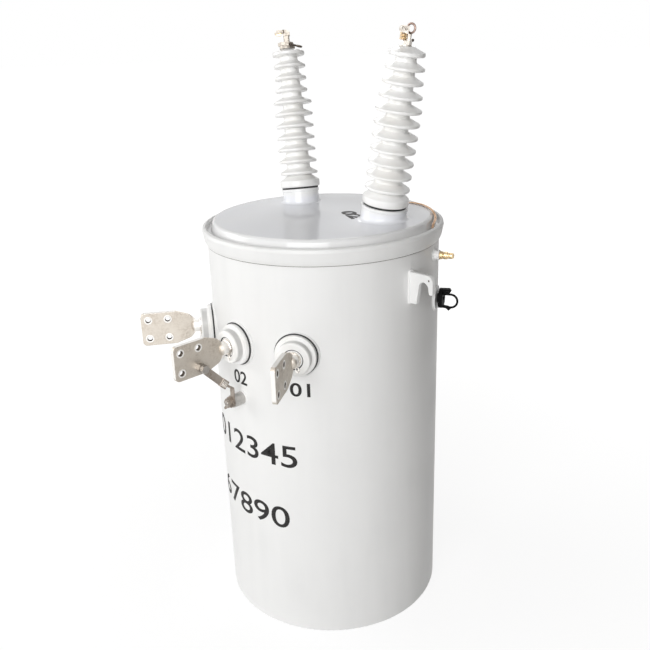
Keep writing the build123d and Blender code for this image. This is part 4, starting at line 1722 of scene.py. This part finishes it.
# ---------------------------------------------------------------- lugs, brackets and small fittings
@dataclass
class LiftingLug:
    """The weld bead that holds one hook plate, and a dark tube in the plate's hole as painted shade.

    Args:
        side: Its name.
        azimuth: Where it stands.
        low: Height of its lower end.
        high: Height of its upper end.
        thickness: Its thickness.
        hole: The small hole's distance from the tank's axis and its height.
        hole_shade: Inner and outer radius of the dark tube in the hole, which is painted shade.
        hole_shade_half: Half the hole's depth.
    """

    side: str
    azimuth: float
    low: float = 804.2
    high: float = 873.3
    thickness: float = 10.0
    hole: Pair = (318.6, 862.4)
    hole_shade: Pair = (1.0, 2.35)
    hole_shade_half: float = 4.6

    def build(self, shop: Workshop) -> None:
        """Adds the bead, one closed line round the plate's foot on the wall, and the hole's dark face, which
        is painted shade.

        Args:
            shop: Fits the pieces.
        """
        half = self.thickness / 2 + 0.9
        low, high = self.low - 1, self.high + 1
        flat = rounded([(-half, low), (half, low), (half, high), (-half, high)], 3.0, 8, True)
        dense = np.linspace(flat, np.roll(flat, -1, 0), 12, endpoint=False, axis=1).reshape(-1, 2)
        across = np.degrees(dense[:, 0] / TANK_RADIUS)
        path = polar(self.azimuth + across, TANK_RADIUS + 0.3, dense[:, 1])
        keep = np.linalg.norm(path - np.roll(path, 1, 0), axis=1) > 1e-3
        weld = Shell().weld(path[keep], 2.5, polar(self.azimuth), ring=True, ripple=3.0)
        shop.fit(weld.piece(f"lug_weld_{self.side}"), Finish.ENAMEL)
        # A dark tube inside the small hole: painted shade.
        inner, outer, end = *self.hole_shade, self.hole_shade_half
        section = np.array([(inner, -end), (outer, -end), (outer, end), (inner, end)])
        hole_shade = Shell().turned(Axes.radial(self.azimuth).moved(*self.hole, 0), section, 24)
        shop.fit(hole_shade.piece(f"lug_hole_shade_{self.side}"), Finish.OXIDE)
        shop.dress(Finish.ENAMEL, f"lifting_lug_{self.side}")


@dataclass
class HangerBracket:
    """The weld beads that hold one pole bracket.

    Args:
        level: Its name.
        height: Its middle over the floor.
        width: Its width over both webs.
        root: Height of its webs at the tank.
        bead: Radius of the beads.
        ripple: Length of one ripple.
    """

    level: str
    height: float
    width: float = 118.0
    root: float = 150.0
    bead: float = 3.6
    ripple: float = 4.0

    def build(self, shop: Workshop) -> None:
        """Adds a bead down the outside of each web, where it meets the wall.

        Args:
            shop: Fits the pieces.
        """
        welds = Shell()
        half, short = self.root / 2, 4
        heights = np.linspace(self.height - half + short, self.height + half - short, 260)
        for side in (-1, 1):
            across = side * (self.width / 2 + 0.6)
            turn = 180 + math.degrees(math.asin(across / TANK_RADIUS))
            line = polar(turn, TANK_RADIUS + 0.6, heights)
            welds.weld(line, self.bead, polar(turn), ripple=self.ripple)
        shop.fit(welds.piece(f"hanger_weld_{self.level}"), Finish.ENAMEL)
        shop.dress(Finish.ENAMEL, f"hanger_bracket_{self.level}")


@dataclass
class ReliefValve:
    """The brass valve: ribbed body, neck and knurled cap, on its welded coupling.

    Args:
        azimuth: Where it stands.
        height: Its axis over the floor.
        outline: Radius, and distance from the wall, of each corner of the valve.
        easing: Rounding of each corner.
        ribs: Number of ribs round it.
        rib_depth: Half the depth of a rib.
        ribbed: Where each ribbed stretch starts and ends.
        spatter: Across, up and size of each spot of weld spatter on the wall.
    """

    azimuth: float = 112.9
    height: float = 883.9
    outline: tuple[Pair, ...] = (
        (4, 12.9), (8.8, 12.9), (8.8, 19), (7.2, 20), (7.2, 21.5), (8.6, 22.5), (8.2, 30), (6.8, 31),
        (6.8, 33), (6.2, 33.6), (6.2, 34.6), (6.8, 35.2), (6.6, 41), (5, 44), (1, 44),
    )
    easing: tuple[float, ...] = (0, 0.8, 0.5, 0.3, 0.3, 0.8, 0.8, 0.2, 0.3, 0.2, 0.2, 0.3, 1, 1.5, 0)
    ribs: int = 22
    rib_depth: float = 0.28
    ribbed: tuple[Pair, ...] = ((23.0, 29.5), (13.6, 18.4))
    spatter: tuple[Triple, ...] = ((-19, 8, 1.5), (-22, 2, 1.1), (-17, -3, 0.9), (-26, 6, 0.8))

    def build(self, shop: Workshop) -> None:
        """Adds the valve, and the coupling's weld with its spatter, and dresses the coupling.

        Args:
            shop: Fits the pieces.
        """
        shop.fit(self.body().piece("valve_body", 30), Finish.BRASS, replaces=("relief_valve",))
        weld = BossWeld(self.azimuth, self.height, 12.2, 2.3, 2.5, 140).shell()
        drop = np.array([(1, -0.2), (0.95, 0.25), (0.7, 0.5), (0.3, 0.66)])
        for across, up, size in self.spatter:
            turn = self.azimuth + math.degrees(across / TANK_RADIUS)
            weld.turned(Axes.wall(turn, TANK_RADIUS, self.height + up), size * drop, 12)
        shop.fit(weld.piece("valve_coupling_weld"), Finish.ENAMEL)
        shop.dress(Finish.ENAMEL, "relief_valve_coupling")

    def body(self) -> Shell:
        """The turned valve, whose radius gains a cosine of the angle times the ribs where it is ribbed.

        Returns:
            The valve's surface.
        """
        profile = rounded(self.outline, self.easing, 5)
        angle = full_turn(self.ribs * 8)[None]
        radius, height = profile[:, :1], profile[:, 1:]
        ribbed = np.any([(height > low) & (height < high) for low, high in self.ribbed], axis=0)
        radius = radius + self.rib_depth * ribbed * np.cos(self.ribs * angle)
        seat = Axes.wall(self.azimuth, TANK_RADIUS, self.height)
        return Shell().grid(seat.place(around(radius, height, angle)))


@dataclass
class TapChanger:
    """The handle's shaft seal and screw, and the bead round its flange.

    Args:
        azimuth: Where it stands.
        height: Its axis over the floor.
        flange: Radius of the flange.
        seal: Inner and outer radius of the shaft's seal.
        seal_ends: Where the seal starts and ends, from the wall.
        screw: Section of the screw's head: radius, and distance from the wall.
        slot: Length, width and corner radius of the bar that stands for its slot.
        slot_height: Height of that bar.
    """

    azimuth: float = 116.9
    height: float = 778.2
    flange: float = 28.5
    seal: Pair = (7.6, 10.8)
    seal_ends: Pair = (4.1, 6.4)
    screw: tuple[Pair, ...] = ((1.0, 17.5), (4.4, 17.5), (4.4, 20.4), (1.0, 20.9))
    slot: Triple = (6.4, 1.1, 0.2)
    slot_height: float = 0.55

    def build(self, shop: Workshop) -> None:
        """Adds the bead, the shaft's seal and the handle's screw, which turns with the handle.

        Args:
            shop: Fits the pieces.
        """
        weld = BossWeld(self.azimuth, self.height, self.flange + 0.3, 1.7, 2.4, 220, proud=0.1)
        shop.fit(weld.shell().piece("tap_flange_weld"), Finish.ENAMEL)
        seat = Axes.wall(self.azimuth, TANK_RADIUS, self.height)
        seal = Shell().hoop(seat, self.seal, self.seal_ends, (0.2, 1, 1, 0.2), 4, 56)
        shop.fit(seal.piece("tap_shaft_seal"), Finish.RUBBER)
        screw = Shell().turned(seat, rounded(self.screw, [0, 0, 1, 0], 5), 40)
        head = seat.moved(0, 0, self.screw[2][1])
        screw.prism(head, box_outline(*self.slot), 0, self.slot_height, 0.1)
        shop.fit(screw.piece("tap_handle_screw"), Finish.PLASTIC, body=HANDLE)
        shop.dress(Finish.PLASTIC, "tap_changer_handle")
        shop.dress(Finish.ENAMEL, "tap_changer_flange")


# ---------------------------------------------------------------- stencilled numbers
class Surface(Enum):
    """What a row of numbers is sprayed on."""

    WALL = 1
    LID = 2


@dataclass(frozen=True)
class NumberRow:
    """One row of plain numbers.

    Args:
        name: The piece's name.
        digits: The numbers.
        surface: The wall or the lid.
        start: Azimuth of the row's left end on the wall; x of its lower left corner on the lid.
        base: Height of its foot on the wall; y of that corner on the lid.
        height: Height of a number.
        width: Length of the row.
        turn: How far the row is turned on the lid, in degrees.
        bold: How far strokes are thickened, as a share of the number's height.
    """

    name: str
    digits: str
    surface: Surface
    start: float
    base: float
    height: float
    width: float
    turn: float = 0.0
    bold: float = 0.004


@dataclass
class Stencils:
    """Plain numbers sprayed on the wall and the lid.

    Args:
        rows: The rows.
        proud: Thickness of the paint.
        off: How far the paint's back is off the surface.
        slice_width: Distance between the cuts that let a number follow the wall.
        lid_height: Height of the lid's middle.
        lid_fall: How much lower the lid is at its flat disc's edge.
        lid_radius: Radius of that edge.
    """

    rows: tuple[NumberRow, ...] = (
        NumberRow("wall_numbers_upper", "012345", Surface.WALL, -31.5, 442.0, 55.0, 290.0),
        NumberRow("wall_numbers_lower", "67890", Surface.WALL, -31.0, 279.0, 56.0, 262.0),
        NumberRow("terminal_number_1", "01", Surface.WALL, 28.9, 620.5, 32.0, 45.0, bold=0.014),
        NumberRow("terminal_number_2", "02", Surface.WALL, -5.0, 621.0, 32.0, 45.0, bold=0.014),
        NumberRow("lid_number", "02", Surface.LID, 30.5, 23.5, 34.0, 80.0, -24.6, 0.05),
    )
    proud: float = 0.22
    off: float = 0.05
    slice_width: float = 4.0
    lid_height: float = 965.5
    lid_fall: float = 4.5
    lid_radius: float = 251.0

    def outline(self, row: NumberRow) -> bpy.types.Mesh:
        """The row as a flat mesh, about one unit tall.

        Args:
            row: The row.

        Returns:
            The mesh.
        """
        curve = bpy.data.curves.new(row.name, "FONT")
        curve.body = row.digits
        curve.offset = row.bold
        curve.resolution_u = 6
        holder = put(row.name, curve)
        bpy.context.view_layer.update()
        flat = bpy.data.meshes.new_from_object(holder.evaluated_get(bpy.context.evaluated_depsgraph_get()))
        bpy.data.objects.remove(holder)
        bpy.data.curves.remove(curve)
        return flat

    def sliced(self, row: NumberRow) -> bpy.types.Mesh:
        """The flat row at its real size, cut across every few millimetres.

        Args:
            row: The row.

        Returns:
            The mesh, in millimetres, from zero along x and y.
        """
        flat = self.outline(row)
        place = np.zeros(len(flat.vertices) * 3, np.float32)
        flat.vertices.foreach_get("co", place)
        place = place.reshape(-1, 3)
        low, high = place.min(0), place.max(0)
        size = np.array([row.width / (high[0] - low[0]), row.height / (high[1] - low[1]), 1])
        flat.vertices.foreach_set("co", ((place - [low[0], low[1], 0]) * size).astype(np.float32).ravel())
        work = bmesh.new()
        work.from_mesh(flat)
        bmesh.ops.remove_doubles(work, verts=work.verts, dist=0.001)
        for cut in np.arange(self.slice_width, row.width, self.slice_width):
            everything = work.verts[:] + work.edges[:] + work.faces[:]
            bmesh.ops.bisect_plane(work, geom=everything, plane_co=(cut, 0, 0), plane_no=(1, 0, 0))
        bmesh.ops.triangulate(work, faces=work.faces)
        work.to_mesh(flat)
        work.free()
        return flat

    def laid(self, row: NumberRow, x: Points, y: Points) -> Points:
        """Where a row's flat points come to lie.

        On the wall x over the radius is the turn round it. On the lid the row is turned by its angle,
        and its height falls evenly with the distance from the axis.

        Args:
            row: The row.
            x: The points' place along the row.
            y: Their height over the row's foot.

        Returns:
            The points on the surface.
        """
        if row.surface is Surface.WALL:
            return polar(row.start + np.degrees(x / TANK_RADIUS), TANK_RADIUS + self.off, row.base + y)
        turn = math.radians(row.turn)
        across = row.start + x * math.cos(turn) - y * math.sin(turn)
        ahead = row.base + x * math.sin(turn) + y * math.cos(turn)
        crown = self.lid_height - self.lid_fall * np.hypot(across, ahead) / self.lid_radius
        return np.stack([across, ahead, crown + self.off], axis=1)

    def build(self, shop: Workshop) -> None:
        """Lays each row on its surface and gives its paint a thickness.

        Args:
            shop: Fits the pieces.
        """
        for row in self.rows:
            mesh = self.sliced(row)
            place = np.zeros(len(mesh.vertices) * 3, np.float32)
            mesh.vertices.foreach_get("co", place)
            laid = self.laid(row, *place.reshape(-1, 3)[:, :2].T)
            mesh.vertices.foreach_set("co", (laid * MM).astype(np.float32).ravel())
            mesh.update()
            piece = put(row.name, mesh)
            paint = piece.modifiers.new("paint", "SOLIDIFY")
            paint.thickness = self.proud * MM
            paint.offset = 1
            mesh.materials.clear()
            shop.fit(piece, Finish.INK)


# ---------------------------------------------------------------- studio
@dataclass(frozen=True)
class Lamp:
    """One soft box, aimed at the object's middle.

    Args:
        name: Its name.
        azimuth: Where it stands.
        elevation: How high it stands, in degrees.
        distance: Metres from the point that it is aimed at.
        size: Width of its square face in metres.
        power: Its power in watts.
        colour: Its colour.
        aim: Height of the point that it is aimed at.
    """

    name: str
    azimuth: float
    elevation: float
    distance: float
    size: float
    power: float
    colour: Colour = (1.0, 1.0, 1.0)
    aim: float = 0.6

    def place(self) -> None:
        """Puts the lamp up, unseen by the camera."""
        data = bpy.data.lights.new(self.name, "AREA")
        data.size, data.energy, data.color = self.size, self.power, self.colour
        lamp = put(self.name, data)
        rise = math.radians(self.elevation)
        way = Vector(polar(self.azimuth, math.cos(rise), math.sin(rise)))
        lamp.location = Vector((0, 0, self.aim)) + way * self.distance
        lamp.rotation_euler = way.to_track_quat("Z", "Y").to_euler()
        lamp.visible_camera = False


@dataclass
class Studio:
    """White floor and surroundings, three soft boxes, a dark card on the right and the camera.

    Args:
        azimuth: The camera's azimuth.
        distance: The camera's distance from the tank's axis, in metres.
        height: The camera's height, in metres.
        heading: Turn of the camera about the upright.
        pitch: How far it looks down.
        roll: Its roll.
        lens: Its focal length.
        sensor: Width of its sensor.
        lamps: The soft boxes.
        daylight: Strength of the surroundings' own light.
        sky: Colour of that light.
        floor_radius: Radius of the floor, in metres.
        floor_drop: How far the floor is under the object, in metres.
        paper: Grey of the floor as the light meets it.
        sheet: Grey of the floor as the eye meets it.
        glow: Radii between which the floor's glow rises, and its strength at each; the weaker glow near the
            middle is painted shade round the object's foot.
        card_azimuth: Where the dark card stands.
        card_distance: Its distance from the tank's axis, in metres.
        card_height: Height of its middle, in metres.
        card_half: Half its width and half its height, in metres.
        card_colour: Its colour.
    """

    azimuth: float = 46.8
    distance: float = 1.77533
    height: float = 1.33985
    heading: float = 46.885
    pitch: float = 20.185
    roll: float = -1.901
    lens: float = 43.208
    sensor: float = 36.0
    lamps: tuple[Lamp, ...] = (
        Lamp("key_box", -52, 20, 5.6, 3.6, 119, (1.0, 0.998, 0.99)),
        Lamp("fill_box", 31, 19, 5.6, 4.0, 236, (0.995, 0.998, 1.0)),
        Lamp("back_box", 226, 37, 5.6, 2.4, 52, (1.0, 1.0, 1.0)),
    )
    daylight: float = 0.17
    sky: Colour = (1.0, 0.985, 0.965)
    floor_radius: float = 60.0
    floor_drop: float = 0.0005
    paper: float = 0.70
    sheet: float = 0.16
    glow: tuple[float, ...] = (0.45, 2.6, 0.87, 1.01)
    card_azimuth: float = 128.0
    card_distance: float = 1.5
    card_height: float = 0.75
    card_half: Pair = (1.0, 0.95)
    card_colour: Colour = (0.09, 0.08, 0.07)

    def build(self) -> None:
        """Sets up camera, floor, surroundings, lamps and card."""
        self.camera()
        self.floor()
        self.surroundings()
        for lamp in self.lamps:
            lamp.place()
        self.card()
        bpy.context.scene.view_settings.view_transform = "Standard"

    def camera(self) -> None:
        """Makes the camera: heading about Z, then pitch about X, then roll about its own axis."""
        data = bpy.data.cameras.new("camera")
        data.lens, data.sensor_width = self.lens, self.sensor
        data.clip_start, data.clip_end = 0.05, 200.0
        camera = put("camera", data)
        camera.location = Vector(polar(self.azimuth, self.distance, self.height))
        turns = ((self.heading, "Z"), (90 - self.pitch, "X"), (self.roll, "Z"))
        whole = Matrix.Identity(3)
        for angle, axis in turns:
            whole = whole @ Matrix.Rotation(math.radians(angle), 3, axis)
        camera.rotation_euler = whole.to_euler()
        bpy.context.scene.camera = camera

    @staticmethod
    def part_rays(tree: bpy.types.NodeTree, lit: Socket, seen: Socket, output: str) -> None:
        """Ends a tree of nodes with one shader for what light meets and one for what the eye meets.

        The eye's are camera, glossy and transmission rays: the largest of those three picks its shader.

        Args:
            tree: The tree of nodes.
            lit: The shader for all other rays.
            seen: The shader for the eye's rays.
            output: Kind of the tree's output node.
        """
        nodes, links = tree.nodes, tree.links
        path = nodes.new("ShaderNodeLightPath")
        total = path.outputs["Is Camera Ray"]
        for name in ("Is Glossy Ray", "Is Transmission Ray"):
            most = nodes.new("ShaderNodeMath")
            most.operation = "MAXIMUM"
            links.new(total, most.inputs[0])
            links.new(path.outputs[name], most.inputs[1])
            total = most.outputs[0]
        mixed = nodes.new("ShaderNodeMixShader")
        for socket, source in zip(mixed.inputs, (total, lit, seen)):
            links.new(source, socket)
        links.new(mixed.outputs[0], nodes.new(output).inputs[0])

    def floor(self) -> None:
        """A wide disc: pale to the light, and to the eye a grey sheet that glows white where unshaded.

        The glow's strength rises in a straight line with the distance from the disc's middle: the weaker glow
        near the middle is painted shade round the object's foot, and the stronger glow far off evens out the
        lamps' fall-off.
        """
        rim = circle(self.floor_radius, 64)
        corners = np.column_stack([rim, np.full(len(rim), -self.floor_drop)])
        mesh = bpy.data.meshes.new("floor")
        mesh.from_pydata(corners, [], [list(range(len(corners)))])
        floor = put("floor", mesh)
        material = bpy.data.materials.new("floor_paper")
        material.use_nodes = True
        nodes, links = material.node_tree.nodes, material.node_tree.links
        nodes.clear()
        plain = nodes.new("ShaderNodeBsdfDiffuse")
        faint = nodes.new("ShaderNodeBsdfDiffuse")
        for shader, grey in ((plain, self.paper), (faint, self.sheet)):
            shader.inputs[0].default_value = (grey, grey, grey, 1)
        glow = nodes.new("ShaderNodeEmission")
        both = nodes.new("ShaderNodeAddShader")
        place = nodes.new("ShaderNodeTexCoord")
        far = nodes.new("ShaderNodeVectorMath")
        # Glow weaker near the middle: painted shade round the object's foot.
        glow_with_painted_shade = nodes.new("ShaderNodeMapRange")
        far.operation = "LENGTH"
        links.new(place.outputs["Object"], far.inputs[0])
        links.new(far.outputs["Value"], glow_with_painted_shade.inputs[0])
        for socket, value in zip(list(glow_with_painted_shade.inputs)[1:5], self.glow):
            socket.default_value = value
        links.new(glow_with_painted_shade.outputs[0], glow.inputs["Strength"])
        links.new(faint.outputs[0], both.inputs[0])
        links.new(glow.outputs[0], both.inputs[1])
        self.part_rays(material.node_tree, plain.outputs[0], both.outputs[0], "ShaderNodeOutputMaterial")
        mesh.materials.append(material)

    def surroundings(self) -> None:
        """Surroundings that look white but light the object only softly."""
        world = bpy.data.worlds.new("surroundings")
        bpy.context.scene.world = world
        world.use_nodes = True
        nodes = world.node_tree.nodes
        nodes.clear()
        dim = nodes.new("ShaderNodeBackground")
        white = nodes.new("ShaderNodeBackground")
        for shader, strength, colour in ((dim, self.daylight, self.sky), (white, 1.0, (1.0, 1.0, 1.0))):
            shader.inputs["Strength"].default_value = strength
            shader.inputs["Color"].default_value = (*colour, 1)
        self.part_rays(world.node_tree, dim.outputs[0], white.outputs[0], "ShaderNodeOutputWorld")

    def card(self) -> None:
        """A dark card on the right, which no camera sees, to give the tank its darker edge."""
        middle = Vector(polar(self.card_azimuth, self.card_distance, self.card_height))
        side, up = Vector(polar(self.card_azimuth + 90, self.card_half[0])), Vector((0, 0, self.card_half[1]))
        corners = [middle - side - up, middle + side - up, middle + side + up, middle - side + up]
        mesh = bpy.data.meshes.new("dark_card")
        mesh.from_pydata(corners, [], [[0, 1, 2, 3]])
        card = put("dark_card", mesh)
        material = bpy.data.materials.new("card_felt")
        material.use_nodes = True
        felt = material.node_tree.nodes["Principled BSDF"]
        felt.inputs["Base Color"].default_value = (*self.card_colour, 1)
        felt.inputs["Roughness"].default_value = 0.9
        mesh.materials.append(material)
        card.visible_camera = False
        card.visible_shadow = False


# ---------------------------------------------------------------- the whole object
def bushings() -> tuple[HighVoltageBushing, HighVoltageBushing]:
    """The two high voltage bushings with their own sizes.

    Returns:
        The slimmer left one and the stouter right one.
    """
    slim = HighVoltageBushing(
        number=1,
        girth=0.96,
        first_shed=34.4,
        pitch=27.9,
        rims=(46.0,) * 7 + (38.5,) * 4,
        cap_rise=12.0,
        gasket=44.0,
    )
    stout = HighVoltageBushing(
        number=2,
        girth=1.0,
        first_shed=35.9,
        pitch=27.7,
        rims=(49.5,) * 7 + (46.1, 43.3, 41.8, 38.2),
        cap_rise=14.3,
        gasket=46.7,
    )
    return slim, stout


def main() -> None:
    """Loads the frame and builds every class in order."""
    logging.basicConfig(level=logging.INFO, format="%(message)s")
    for leftover in list(bpy.data.objects):
        bpy.data.objects.remove(leftover)
    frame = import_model()
    Studio().build()
    shop = Workshop(frame["nodes"])
    slim, stout = bushings()
    pieces = [Tank(), Lid(), ClampBand(), BondRibbon(), slim, stout]
    pieces += [SpringClamp(slim, ClampState.OPEN, 1.016), SpringClamp(stout, ClampState.CLOSED, 0.956)]
    pieces += [LowVoltageTerminal(1, 32.9), LowVoltageTerminal(2, 0.0), LowVoltageTerminal(3, -32.9)]
    pieces += [GroundConnection(), LiftingLug("right", 90.0), LiftingLug("left", -90.0)]
    pieces += [HangerBracket("lower", 235.0), HangerBracket("upper", 825.5)]
    pieces += [ReliefValve(), TapChanger(), Stencils()]
    for each in pieces:
        each.build(shop)
    LOG.info("made %d pieces", len(shop.made))


if __name__ == "__main__":
    main()
